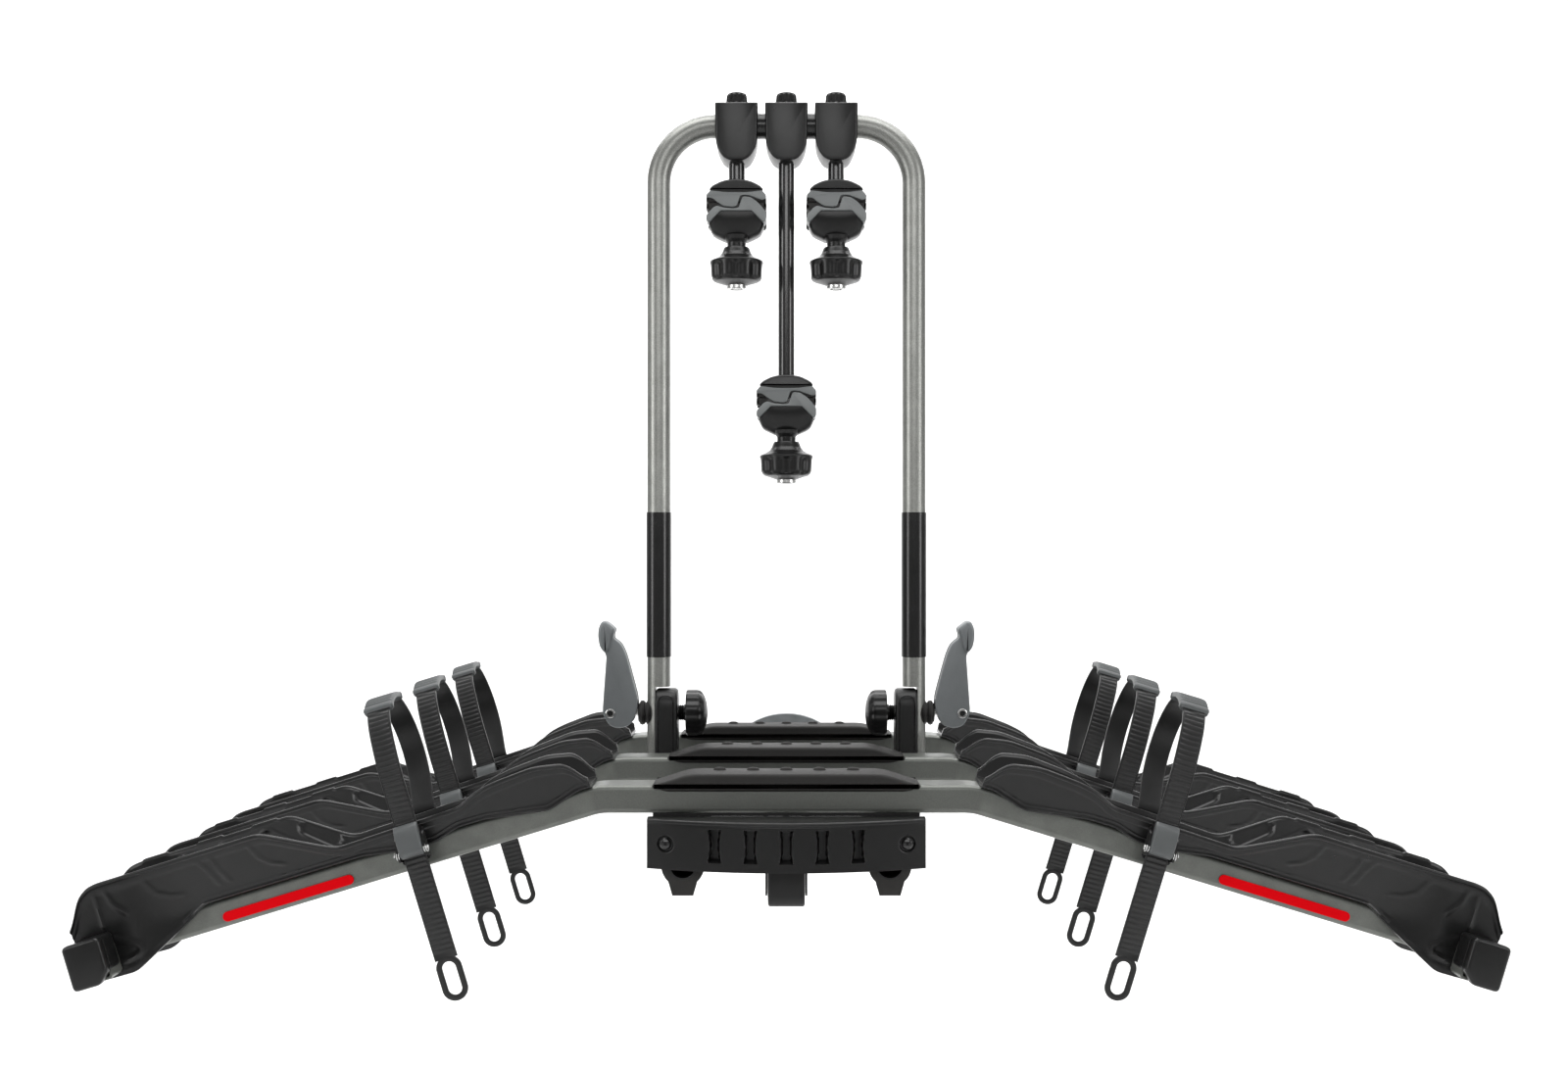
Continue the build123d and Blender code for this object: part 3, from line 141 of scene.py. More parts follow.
def near(u, n, *points):
    """Distance from each (u, n) to the chain of straight lines through the points."""
    best = np.full(np.broadcast(u, n).shape, 1e9)
    for (au, an), (bu, bn) in zip(points[:-1], points[1:]):
        du, dn = bu - au, bn - an
        t = np.clip(((u - au) * du + (n - an) * dn) / (du * du + dn * dn), 0, 1)
        best = np.minimum(best, np.hypot(u - au - t * du, n - an - t * dn))
    return best


def soft_line(u, points, blur):
    """Heights at u of the line through the points, its corners averaged over the blur length."""
    offsets = np.linspace(-blur, blur, 9)
    line = np.array(points, float)
    return np.mean([np.interp(u + o, line[:, 0], line[:, 1]) for o in offsets], 0)


print("helpers ready")

# %% [markdown]
# ## Finishes
#
# Moulded plastic, powder coat and rubber share the same few effects: a fine grain, a slow drift of tone and
# the paler bloom that handling leaves. Painting them into an image would fix their size, so each is a node
# group that reads Object coordinates and can be placed in any material at its own scale.

# %% Shared effects
def group(name, inputs, outputs):
    """An empty shader node group with named value inputs and named outputs."""
    made = bpy.data.node_groups.new(name, "ShaderNodeTree")
    for label, value in inputs.items():
        made.interface.new_socket(label, in_out="INPUT",
            socket_type="NodeSocketFloat").default_value = value
    for label, kind in outputs.items():
        made.interface.new_socket(label, in_out="OUTPUT", socket_type=kind)
    return made, made.nodes.new("NodeGroupInput"), made.nodes.new("NodeGroupOutput")


def join(tree, *pairs):
    """Links given as pairs of sockets."""
    for a, b in pairs:
        tree.links.new(a, b)


def make_grain():
    """Two noises, one at the fine scale and one at the drift scale, kept apart; the first is put out as a
    height and the second as drifting tone."""
    tree, given, out = group(
        "moulded grain", {"Scale": 900.0, "Drift Scale": 9.0},
            {"Height": "NodeSocketFloat", "Tone": "NodeSocketFloat"}
    )
    place = tree.nodes.new("ShaderNodeTexCoord")
    fine, drift = (tree.nodes.new("ShaderNodeTexNoise") for _ in range(2))
    fine.inputs["Detail"].default_value = 3.0
    drift.inputs["Detail"].default_value = 4.0
    join(
        tree,
        (place.outputs["Object"], fine.inputs["Vector"]),
        (place.outputs["Object"], drift.inputs["Vector"]),
        (given.outputs["Scale"], fine.inputs["Scale"]),
        (given.outputs["Drift Scale"], drift.inputs["Scale"]),
        (fine.outputs["Fac"], out.inputs["Height"]),
        (drift.outputs["Fac"], out.inputs["Tone"]),
    )
    return tree


def make_wear():
    """A mask of corners that stand proud: pointiness above its middle value, broken up by a noise."""
    tree, given, out = group("edge wear", {"Amount": 0.3}, {"Mask": "NodeSocketFloat"})
    shape, place = tree.nodes.new("ShaderNodeNewGeometry"), tree.nodes.new("ShaderNodeTexCoord")
    noise = tree.nodes.new("ShaderNodeTexNoise")
    noise.inputs["Scale"].default_value = 60.0
    span = tree.nodes.new("ShaderNodeMapRange")
    span.inputs["From Min"].default_value = 0.505
    span.inputs["From Max"].default_value = 0.56
    both, much = (tree.nodes.new("ShaderNodeMath") for _ in range(2))
    both.operation = much.operation = "MULTIPLY"
    join(
        tree,
        (place.outputs["Object"], noise.inputs["Vector"]),
        (shape.outputs["Pointiness"], span.inputs["Value"]),
        (span.outputs["Result"], both.inputs[0]),
        (noise.outputs["Fac"], both.inputs[1]),
        (both.outputs[0], much.inputs[0]),
        (given.outputs["Amount"], much.inputs[1]),
        (much.outputs[0], out.inputs["Mask"]),
    )
    return tree


def make_flake():
    """Cells each with a random brightness: the aluminium flakes in metallic paint."""
    tree, given, out = group("metal flake", {"Scale": 1500.0}, {"Sparkle": "NodeSocketFloat"})
    place, cells = tree.nodes.new("ShaderNodeTexCoord"), tree.nodes.new("ShaderNodeTexVoronoi")
    grey = tree.nodes.new("ShaderNodeRGBToBW")
    join(
        tree,
        (place.outputs["Object"], cells.inputs["Vector"]),
        (given.outputs["Scale"], cells.inputs["Scale"]),
        (cells.outputs["Color"], grey.inputs["Color"]),
        (grey.outputs["Val"], out.inputs["Sparkle"]),
    )
    return tree


GRAIN, WEAR, FLAKE = make_grain(), make_wear(), make_flake()
print("effects", [g.name for g in (GRAIN, WEAR, FLAKE)])


# %% A finish from its numbers
def finish(name, dark, light, rough, metal=0.0, grain=900.0, bump=0.1, wear=0.25, worn=None, flake=0.0,
    **fixed):
    """A Principled material whose colour drifts between two tones, with grain, worn edges and, if asked,
    flakes."""
    made = bpy.data.materials.new(name)
    made.use_nodes = True
    tree = made.node_tree
    shader = tree.nodes["Principled BSDF"]
    shader.inputs["Metallic"].default_value = metal
    for label, value in fixed.items():
        shader.inputs[label.replace("_", " ")].default_value = value

    grained = tree.nodes.new("ShaderNodeGroup")
    grained.node_tree = GRAIN
    grained.inputs["Scale"].default_value = grain
    grained.inputs["Drift Scale"].default_value = 9.0
    tone = tree.nodes.new("ShaderNodeMix")
    tone.data_type = "RGBA"
    tone.inputs["A"].default_value = (*dark, 1)
    tone.inputs["B"].default_value = (*light, 1)
    join(tree, (grained.outputs["Tone"], tone.inputs["Factor"]))
    colour = tone.outputs["Result"]
    if flake:
        flakes = tree.nodes.new("ShaderNodeGroup")
        flakes.node_tree = FLAKE
        flakes.inputs["Scale"].default_value = 1400.0
        shine = tree.nodes.new("ShaderNodeMapRange")
        shine.inputs["To Min"].default_value = 1 - flake
        shine.inputs["To Max"].default_value = 1 + flake
        lit = tree.nodes.new("ShaderNodeMix")
        lit.data_type, lit.blend_type = "RGBA", "MULTIPLY"
        lit.inputs["Factor"].default_value = 1.0
        join(
            tree,
            (flakes.outputs["Sparkle"], shine.inputs["Value"]),
            (colour, lit.inputs["A"]),
            (shine.outputs["Result"], lit.inputs["B"]),
        )
        colour = lit.outputs["Result"]
    worn_mix = tree.nodes.new("ShaderNodeMix")
    worn_mix.data_type = "RGBA"
    worn_mix.inputs["B"].default_value = (*(worn or [min(1, 3 * c + 0.02) for c in light]), 1)
    edges = tree.nodes.new("ShaderNodeGroup")
    edges.node_tree = WEAR
    edges.inputs["Amount"].default_value = wear
    dull = tree.nodes.new("ShaderNodeMapRange")
    dull.inputs["To Min"].default_value = rough - 0.07
    dull.inputs["To Max"].default_value = rough + 0.07
    relief = tree.nodes.new("ShaderNodeBump")
    relief.inputs["Strength"].default_value = bump
    relief.inputs["Distance"].default_value = 0.0004
    join(
        tree,
        (edges.outputs["Mask"], worn_mix.inputs["Factor"]),
        (colour, worn_mix.inputs["A"]),
        (worn_mix.outputs["Result"], shader.inputs["Base Color"]),
        (grained.outputs["Tone"], dull.inputs["Value"]),
        (dull.outputs["Result"], shader.inputs["Roughness"]),
        (grained.outputs["Height"], relief.inputs["Height"]),
        (relief.outputs["Normal"], shader.inputs["Normal"]),
    )
    return made


FINISHES = {
    "frame_black": finish(
        "satin black powder coat", (0.005,) * 3, (0.009,) * 3, 0.40, grain=700, bump=0.25,
            Specular_IOR_Level=0.32,
    ),
    "zinc_steel": finish("zinc plate", (0.48, 0.48, 0.47), (0.66, 0.66, 0.65), 0.3, metal=1.0,
        grain=500, bump=0.05),
    "beam_grey": finish(
        "grey metallic powder coat", (0.098, 0.103, 0.094), (0.122, 0.127, 0.116), 0.40, metal=0.55,
        grain=600, bump=0.18, flake=0.12, Coat_Weight=0.12, Coat_Roughness=0.3,
    ),
    "mast_silver": finish(
        "silver metallic paint", (0.185, 0.188, 0.176), (0.235, 0.238, 0.224), 0.38, metal=0.75,
        grain=900, bump=0.12, flake=0.32, Coat_Weight=0.15, Coat_Roughness=0.25,
    ),
    "rod_black": finish(
        "gloss black with fine flake", (0.008,) * 3, (0.014,) * 3, 0.2, metal=0.3, grain=1200,
            bump=0.15, flake=0.5,
        Coat_Weight=0.4, Coat_Roughness=0.1,
    ),
    "black_rubber": finish(
        "matt moulded rubber", (0.009, 0.0085, 0.008), (0.015, 0.014, 0.013), 0.6, grain=1400, bump=0.4,
        Specular_IOR_Level=0.28,
    ),
    "lever_grey": finish(
        "cast lever in satin grey", (0.120, 0.129, 0.133), (0.150, 0.160, 0.164), 0.42, metal=0.2,
        grain=420, bump=0.4, wear=0.35,
    ),
    "reflector_red": finish(
        "red reflector film", (0.60, 0.0, 0.003), (0.66, 0.0, 0.004), 0.5, grain=2600, bump=0.05, wear=0.0,
        Specular_IOR_Level=0.05,
    ),
    "strap_black": finish(
        "soft black strap", (0.006,) * 3, (0.011,) * 3, 0.36, grain=1300, bump=0.2, Specular_IOR_Level=0.4,
    ),
    "grey_plastic": finish(
        "satin grey plastic", (0.058, 0.062, 0.063), (0.078, 0.083, 0.084), 0.4, bump=0.2,
            Specular_IOR_Level=0.4,
    ),
    "sleeve_black": finish(
        "shrunk black sleeve", (0.004,) * 3, (0.007,) * 3, 0.22, grain=300, bump=0.03,
            Specular_IOR_Level=0.4,
    ),
    "black_plastic": finish(
        "black tray plastic", (0.003,) * 3, (0.006,) * 3, 0.30, grain=1000, bump=0.16,
            Specular_IOR_Level=0.34,
    ),
}
CLAMP_GREY = finish("clamp band grey", (0.105, 0.112, 0.112), (0.130, 0.138, 0.138), 0.38, bump=0.15)
print("finishes", sorted(FINISHES))

# %% Dress the measured parts
SLOT_OF = {part["node"]: part["material_slot"] for part in frame["record"]["subparts"]}
BODY_OF = {node: body for body, nodes in frame["record"]["behaviour"]["bodies"].items() for node in nodes}
for name, node in frame["nodes"].items():
    slot = SLOT_OF[name]
    node.data.materials.clear()
    node.data.materials.append(FINISHES[slot])
print("dressed", len(frame["nodes"]), "parts")

# %% [markdown]
# ## Where things are on the wings
#
# The outer two thirds of every beam slope down by 16.9 degrees. Everything on them is easiest to draw flat:
# u runs down the wing from the bend and n stands square to it, so one rule turns those into places.

# %% The sloping wings
SLOPE = np.radians(16.9)
BEND_X, BEAM_BOTTOM = 178.0, 63.0
ROWS = {"front": -700.0, "middle": -500.0, "rear": -300.0}
SIDES = {"left": -1, "right": 1}


def on_wing(side, u, n, y):
    """Places of points u along a wing and n above its underside: the two are turned by the slope."""
    u, n, y = np.broadcast_arrays(np.asarray(u, float), n, y)
    x = side * (BEND_X + u * np.cos(SLOPE) + n * np.sin(SLOPE))
    return np.stack([x, y, BEAM_BOTTOM - u * np.sin(SLOPE) + n * np.cos(SLOPE)], -1)


print("bend of the front beam", on_wing(1, 0.0, 0.0, ROWS["front"]).round(1))

# %% [markdown]
# ## Wheel trays
#
# Each wheel stands in a moulded trough that clips over its beam. A real tray is one shot of black
# polypropylene: thin walls stiffened by a rolled rim, a doubled bead along the lower edge, curved ribs
# outside and slanted ovals inside. A box model would lose all of that, so the whole wall is one outline
# carried down the wing. Its height follows the rim line and its skirt follows the lower line, and the ribs
# are small heights added to the wall.

# %% Lines that bound a tray
TRAY_LENGTH = 502.4
RIM_LINE = [
    (0, 33), (14, 56), (44, 62), (85, 59), (104, 55.5), (124, 45.5), (245, 42), (257, 48), (307, 78),
    (470, 77),
    (481, 73.5), (491, 63), (499, 44), (502.4, 38),
]
SKIRT_LINE = [
    (0, 27), (13, 27), (44.5, 17), (74, 21.6), (106, 27), (133, 27), (156, 20), (187, 20), (226, 27),
    (384, 27),
    (415, 9), (440, -5), (455, -12.5), (480, -12), (502.4, -10),
]
FLOOR_LINE = [(0, 27.4), (459, 27.4), (463, 32.4), (502.4, 32.4)]
BOX_START, BOX_FULL, BOX_HALF = 388.0, 448.0, 47.5
SKIRT_HALF, WALL = 23.8, 3.0
OUTER_RIBS = [
    [(461, 69), (458, 56), (448, 44)],
    [(424, 67), (418, 53), (408, 46), (397, 43)],
    [(372, 71), (366, 58), (362, 43)],
    [(358, 71), (357, 57), (352, 43)],
    [(321, 71), (317, 57), (309, 48), (298, 43)],
    [(471, 66), (472, 36)],
    [(472, 26), (452, 17), (444, 10), (445, 4), (466, 0)],
]
OVAL_PITCH, OVAL_FIRST, OVAL_COUNT = 43.0, 282.0, 5
print("tray length", TRAY_LENGTH, "mm,", len(OUTER_RIBS), "ribs outside")


# %% The wall of a tray
def wall_out(n, u=0.0):
    """Half width of the outer wall: upright beside the beam, then flared in a straight line. Past the start
    of the box it eases to a nearly upright wall of full width, which hides the tie bar."""
    flared = SKIRT_HALF + 0.489 * 4.0 * np.logaddexp(0, (n - 26.0) / 4.0)
    boxed = np.maximum(BOX_HALF + 0.04 * (n - 40.0), flared)
    share = ease((u - BOX_START) / (BOX_FULL - BOX_START))
    return flared * (1 - share) + boxed * share


def outer_relief(u, n, rim, skirt):
    """Height added outside: a shoulder under the rim, a doubled bead over the skirt and the curved ribs."""
    shoulder = 1.1 * ease((n - rim + 9.5) / 2.0)
    foot = 1.3 * np.clip(1 - np.abs(n - skirt - 1.6) / 1.7, 0, 1) ** 0.5 * ease((n - skirt) / 0.5)
    second = 0.9 * np.clip(1 - np.abs(n - skirt - 6.0) / 1.2, 0, 1)
    ribs = sum(1.5 * np.clip(1 - near(u, n, *line) / 2.3, 0, 1) ** 0.6 for line in OUTER_RIBS)
    return shoulder + foot + second + ribs * ease((rim - 6 - n) / 4)


def inner_relief(u, n):
    """Height added inside: the outlines of slanted ovals, a thin ridge at a set distance from each middle
    line."""
    height = 0.0
    for k in range(OVAL_COUNT):
        at = OVAL_FIRST + k * OVAL_PITCH
        away = near(u, n, (at + 8, 64), (at - 17, 46))
        height = height + 1.0 * np.clip(1 - np.abs(away - 8.5) / 1.2, 0, 1) - 0.8 * ease((8.0 - away) / 2)
    return height


def tray_half(u, rim, skirt, floor, way, row_count=34):
    """Points (y, n) of half a tray's outline, from under the middle of the floor, round the wall, to its
    top."""
    column = u[:, None]
    rise = np.linspace(0, 1, row_count)[None]
    n_out = skirt[:, None] + 0.4 + rise * (rim - skirt - 1.4)[:, None]
    y_out = wall_out(n_out, column) + outer_relief(column, n_out, rim[:, None], skirt[:, None])
    turn = np.linspace(-np.pi / 2.6, np.pi, 9)[None]
    y_rim = wall_out(rim, u)[:, None]
    lip_y = y_rim + 0.4 + 2.7 * np.cos(turn)
    lip_n = rim[:, None] + 2.3 * np.sin(turn) - 0.6
    low = floor + WALL
    n_in = (rim - 1.2)[:, None] + rise * (np.minimum(low + 1.2, rim - 1.3) - rim + 1.2)[:, None]
    y_in = wall_out(n_in, column) - WALL - inner_relief(column, n_in)
    across = np.linspace(1, 0, 9)[None, 1:]
    y_floor = (y_in[:, -1:] - 1.5) * across
    n_floor = low[:, None] + 0 * across + 0.5 * np.cos(across * 6 * np.pi) * ease((1 - across) * 6) * 0.6
    y_under = SKIRT_HALF * np.array([[0, 0.4, 0.86, 0.87]]) + 0 * column
    n_under = np.stack([floor, floor, floor, floor], 1)
    y_skirt = wall_out(skirt, u)[:, None] - np.array([[3.1, 2.4]])
    n_skirt = np.stack([np.minimum(skirt, floor) + 1.0, np.minimum(skirt, floor - 0.2)], 1)
    y = np.concatenate([y_under, y_skirt, y_out, lip_y, y_in, y_floor], 1)
    n = np.concatenate([n_under, n_skirt, n_out, lip_n, n_in, n_floor], 1)
    return way * y, n


def make_tray(row, name, side):
    """A tray: its wall carried down the wing, and the plate that closes its outer end."""
    u = np.linspace(0, TRAY_LENGTH, 230)
    skirt, floor = soft_line(u, SKIRT_LINE, 5), soft_line(u, FLOOR_LINE, 2)
    rim = soft_line(u, RIM_LINE, 7)
    steps = 1.6 * (ease((u - 318) / 3) - ease((u - 462) / 3)) * ease(np.sin((u - 320) / 57 * 2 * np.pi) * 4)
    y_a, n_a = tray_half(u, rim, skirt, floor, -1)
    y_b, n_b = tray_half(u, rim + steps, skirt, floor, 1)
    y = np.concatenate([y_a, y_b[:, ::-1]], 1) + ROWS[row]
    n = np.concatenate([n_a, n_b[:, ::-1]], 1)
    shell = skin(on_wing(side, u[:, None], n, y))
    reach = BOX_HALF - 0.5
    plate = soften([(-reach, -9), (reach, -9), (reach, 39), (-reach, 39)], 3)
    rings = pillow(plate, TRAY_LENGTH - WALL, TRAY_LENGTH, 0.8)
    end = skin(on_wing(side, rings[..., 2], rings[..., 1], rings[..., 0] + ROWS[row]))
    return put(
        f"tray_shell_{row}_{name}", [shell, end], FINISHES["black_plastic"], "platform",
        [f"tray_{row}_{name}"], crease=50,
    )


trays = [make_tray(row, name, side) for row in ROWS for name, side in SIDES.items()]
print("trays", len(trays), "faces each", len(trays[0].data.polygons))

# %% [markdown]
# ## Wheel straps
#
# A wheel strap is a soft plastic strip with ratchet teeth along most of its length, a finger loop at its
# tail and a smooth half that is riveted behind the tray. It is a short profile, flat and 22 millimetres
# wide, carried along the line that the strip takes over the tyre. The teeth are a height that repeats every
# five millimetres of that line.

# %% The line of a strap
STRAP_U, STRAP_WIDTH, STRAP_THICK, TOOTH_PITCH = 175.0, 22.0, 3.0, 5.0
FRONT_RUN, REAR_RUN, TAIL_N, STRAIGHT_TOP, FIXED_N = -40.0, 38.8, -86.5, 80.0, 18.0
ARCS = [(20.0, 160.0), (110.0, 46.0), (85.0, 62.0)]
KNEE_RADIUS = 12.0


def strap_line(step=0.5):
    """Points (y, n), headings and lengths along the strap. The heading turns by arc length over radius
    through each arc, and the place is the running sum of steps along the heading."""
    turned = np.radians(sum(turn for turn, _ in ARCS))
    lean = turned - np.pi
    bends = [(STRAIGHT_TOP - TAIL_N, 0.0)] + [(np.radians(t) * r, 1 / r) for t, r in ARCS]
    lengths = np.cumsum([0] + [l for l, _ in bends])
    fine = np.arange(0, lengths[-1], 0.05)
    rate = np.array([c for _, c in bends])[np.searchsorted(lengths, fine, side="right") - 1]
    head = np.cumsum(rate) * 0.05
    end_y = FRONT_RUN + np.sum(np.sin(head)) * 0.05
    straight = (end_y - REAR_RUN - KNEE_RADIUS * (1 - np.cos(lean))) / np.sin(lean)
    bends += [(straight, 0.0), (KNEE_RADIUS * lean, -1 / KNEE_RADIUS), (400.0, 0.0)]
    lengths = np.cumsum([0] + [l for l, _ in bends])
    s = np.arange(0, lengths[-2] + 120, step)
    rate = np.array([c for _, c in bends])[np.searchsorted(lengths, s, side="right") - 1]
    head = np.cumsum(rate) * step
    y = FRONT_RUN + np.cumsum(np.sin(head)) * step
    n = TAIL_N + np.cumsum(np.cos(head)) * step
    keep = ~((n < FIXED_N) & (head > 2))
    return y[keep], n[keep], head[keep], s[keep]


LINE_Y, LINE_N, LINE_HEAD, LINE_S = strap_line()
print("strap line", round(float(LINE_S[-1]), 1), "mm")


# %% One strap
def strap_skins(side, row_y):
    """The strip with its teeth, and the finger loop at its tail."""
    across = STRAP_WIDTH / 2 * np.array([-1, -0.96, -0.84, -0.82, 0.82, 0.84, 0.96, 1])
    toothed = ease((LINE_S - 5) / 4) * ease((248 - LINE_S) / 12)
    phase = (LINE_S / TOOTH_PITCH) % 1
    tooth = 0.75 * ease(phase / 0.55) * (1 - ease((phase - 0.72) / 0.2)) * toothed
    crown = STRAP_THICK / 2 - 0.15 + tooth
    outer = np.stack([0 * crown + 0.9, 0 * crown + 1.45, 0 * crown + 1.5, crown, crown, 0 * crown + 1.5,
                      0 * crown + 1.45, 0 * crown + 0.9], 1)
    w = np.concatenate([across, across[::-1]])[None] + 0 * LINE_S[:, None]
    thick = np.concatenate([outer, np.array([[-0.9, -1.4, -1.5, -1.5, -1.5, -1.5, -1.4,
        -0.9]]) + 0 * outer], 1)
    y = LINE_Y[:, None] - thick * np.cos(LINE_HEAD)[:, None]
    n = LINE_N[:, None] + thick * np.sin(LINE_HEAD)[:, None]
    strip = skin(on_wing(side, STRAP_U + w, n, row_y + y))
    turn = np.linspace(0, 2 * np.pi, 48, endpoint=False)
    half_run, middle, reach = 9.5, -105.0, 9.5
    path_u = reach * np.cos(turn)
    to_end = half_run * np.sign(np.sin(turn)) * ease(np.abs(np.sin(turn)) * 30)
    path_n = middle + reach * np.sin(turn) + to_end
    normal_u, normal_n = np.cos(turn), np.sin(turn)
    edge = np.linspace(0, 2 * np.pi, 12, endpoint=False)
    out = 3.0 * np.sign(np.cos(edge)) * np.abs(np.cos(edge)) ** 0.5
    up = 1.5 * np.sign(np.sin(edge)) * np.abs(np.sin(edge)) ** 0.5
    loop = on_wing(
        side, STRAP_U + path_u[:, None] + normal_u[:, None] * out,
            path_n[:, None] + normal_n[:, None] * out,
        row_y + FRONT_RUN + up[None] + 0 * path_u[:, None],
    )
    return [strip, skin(loop, loop=True)]


for name, side in SIDES.items():
    made = [part for row_y in ROWS.values() for part in strap_skins(side, row_y)]
    put(f"wheel_straps_{name}", made, FINISHES["strap_black"], "platform",
        [f"straps_{name}"])
print("straps made")

# %% [markdown]
# ## Rim protectors and buckles
#
# A protector slides along the strap to keep it off painted rims: a short grey sleeve with raised ends and a
# row of cross ribs. The buckle is a pressed cover over a spring, turning on a steel pin between the cheeks
# of its base.

# %% Rim protectors
PAD_LENGTH, PAD_WIDTH = 50.0, 28.0
PAD_CENTRE_S = np.interp(np.radians(82), LINE_HEAD[LINE_S < 300], LINE_S[LINE_S < 300])


def sleeve_skin(side, row_y):
    """A rounded box drawn round the strap line: its height steps up at both ends and ribs cross its near
    half."""
    s = np.linspace(PAD_CENTRE_S - PAD_LENGTH / 2, PAD_CENTRE_S + PAD_LENGTH / 2, 90)
    along = (s - s[0]) / PAD_LENGTH
    y, n, head = (np.interp(s, LINE_S, line) for line in (LINE_Y, LINE_N, LINE_HEAD))
    ends = ease(along / 0.05) * ease((1 - along) / 0.05)
    lip = ease((0.13 - along) / 0.03) + ease((along - 0.87) / 0.03)
    rib = ease((np.sin(along * 20 * 2 * np.pi) + 0.2) / 0.8)
    rib = rib * ease((0.52 - along) / 0.03) * ease((along - 0.15) / 0.02)
    top = 2.6 + 0.9 * ends + 0.8 * lip * ends + 0.45 * rib
    half = PAD_WIDTH / 2 - 1.0 + ends + 0.5 * lip * ends
    turn = np.linspace(0, 2 * np.pi, 32, endpoint=False)
    w = np.sign(np.cos(turn)) * np.abs(np.cos(turn)) ** 0.22 * half[:, None]
    rise = np.sign(np.sin(turn)) * np.abs(np.sin(turn)) ** 0.30
    thick = np.where(rise > 0, rise * top[:, None], rise * 2.9)
    points = on_wing(
        side, STRAP_U + w, n[:, None] + thick * np.sin(head)[:, None],
            row_y + y[:, None] - thick * np.cos(head)[:, None]
    )
    return skin(points)


sleeves = [sleeve_skin(side, row_y) for side in SIDES.values() for row_y in ROWS.values()]
put("rim_protectors", sleeves, FINISHES["grey_plastic"], "platform", ["rim_pads"],
    crease=30)


# %% Buckles
def tube(path, radius, sides=12):
    """A round rod along a line of points: circles square to the line, in a frame that is carried without
    twist."""
    path = np.asarray(path, float)
    along = np.gradient(path, axis=0)
    along /= np.linalg.norm(along, axis=1, keepdims=True)
    hint = np.array([0, 0, 1.0]) if abs(along[0, 2]) < 0.8 else np.array([0, 1.0, 0])
    one = np.cross(along, hint)
    one /= np.linalg.norm(one, axis=1, keepdims=True) + 1e-12
    two = np.cross(along, one)
    turn = np.linspace(0, 2 * np.pi, sides, endpoint=False)
    ring = np.cos(turn)[None, :, None] * one[:, None] + np.sin(turn)[None, :, None] * two[:, None]
    return skin(path[:, None] + ring * np.reshape(radius, (-1, 1, 1)))


COVER = soften(
    [(-43.0, 17), (-47.0, 15.5), (-51.5, 19), (-51.6, 34), (-49.5, 43.5), (-44.5, 47.2), (-42.2, 45.6),
    (-43.2, 40)],
    [1, 1, 3, 5, 5, 2, 1, 3], steps=6,
)


def make_buckle(row, name, side):
    """The curved cover, the pin across it and the two coils of its spring."""
    cover = pillow(COVER, -11.4, 11.4, 1.6)
    skins = [skin(on_wing(side, STRAP_U + cover[..., 2], cover[..., 1], ROWS[row] + cover[..., 0]))]
    put(f"buckle_cover_{row}_{name}", skins, FINISHES["grey_plastic"], f"buckle_lever_{row}_{name}",
        [f"buckle_lever_{row}_{name}"])
    pin = np.stack(np.broadcast_arrays(np.linspace(-15.2, 15.2, 8), 20.0, -46.0), -1)
    turn = np.linspace(0, 5 * np.pi, 60)
    coil = np.stack([9.0 + turn * 0.32, 20 + 3.0 * np.sin(turn), -46.6 + 3.0 * np.cos(turn)], -1)
    parts = [(pin, 1.9)] + [(coil * [way, 1, 1] + [way * 2.4, 0, 0], 0.55) for way in (-1, 1)]
    metal = []
    for path, radius in parts:
        points, faces = tube(path, radius, 10)
        metal.append((on_wing(side, STRAP_U + points[:, 0], points[:, 1], ROWS[row] + points[:, 2]), faces))
    put(f"buckle_pin_{row}_{name}", metal, FINISHES["zinc_steel"], f"buckle_lever_{row}_{name}")


for row in ROWS:
    for name, side in SIDES.items():
        make_buckle(row, name, side)
print("buckles made")

# %% [markdown]
# ## Bicycle clamps
#
# Each bicycle frame is held by a clamp on a rod. The head round the bar, the two jaws and the lobed knob
# are all glass-filled nylon. Round parts are turned: a list of heights and radii swept round an axis, with
# flutes taken out where fingers grip. Flat parts are outlines drawn to a depth with their edges rolled
# over.

# %% Turned parts
MAST_Y, BAR_Z = -420.0, 799.0
ARMS = {"left": (-56.7, 707.5), "middle": (0.0, 486.5), "right": (56.7, 707.5)}


def turned(profile, count=0, depth=0.0, between=(0.0, 0.0), sides=96):
    """Rings about an axis from heights and radii. Count flutes of a given depth are taken out between two
    heights, each a raised cosine squared so that the lobes stay broad."""
    profile = np.asarray(profile, float)
    steps = np.concatenate([[0], np.cumsum(np.hypot(*np.diff(profile, axis=0).T))])
    fine = np.union1d(np.linspace(0, steps[-1], 48), steps)
    height, radius = (np.interp(fine, steps, profile[:, k]) for k in (0, 1))
    turn = np.linspace(0, 2 * np.pi, sides, endpoint=False)
    low, high = sorted(between)
    span = ease((height - low) / 2.5) * ease((high - height) / 2.5)
    flutes = depth * span[:, None] * (0.5 + 0.5 * np.cos(count * turn)[None]) ** 2 if count else 0.0
    r = radius[:, None] - flutes + 0 * turn
    return np.stack([r * np.cos(turn), r * np.sin(turn), height[:, None] + 0 * r], -1)


def upright(rings, x, y, z):
    """Rings about the z axis, moved to a place."""
    return skin(rings + np.array([x, y, z]))


def lying(rings, side, y, z):
    """Rings about the x axis, whose heights are distances out from the middle on one side."""
    return skin(np.stack([side * rings[..., 2], y + rings[..., 0], z + rings[..., 1]], -1))


def facing(rings, x, z):
    """Rings of (x, z, depth) stood up so that depth runs along y."""
    return skin(np.stack([x + rings[..., 0], rings[..., 2], z + rings[..., 1]], -1))


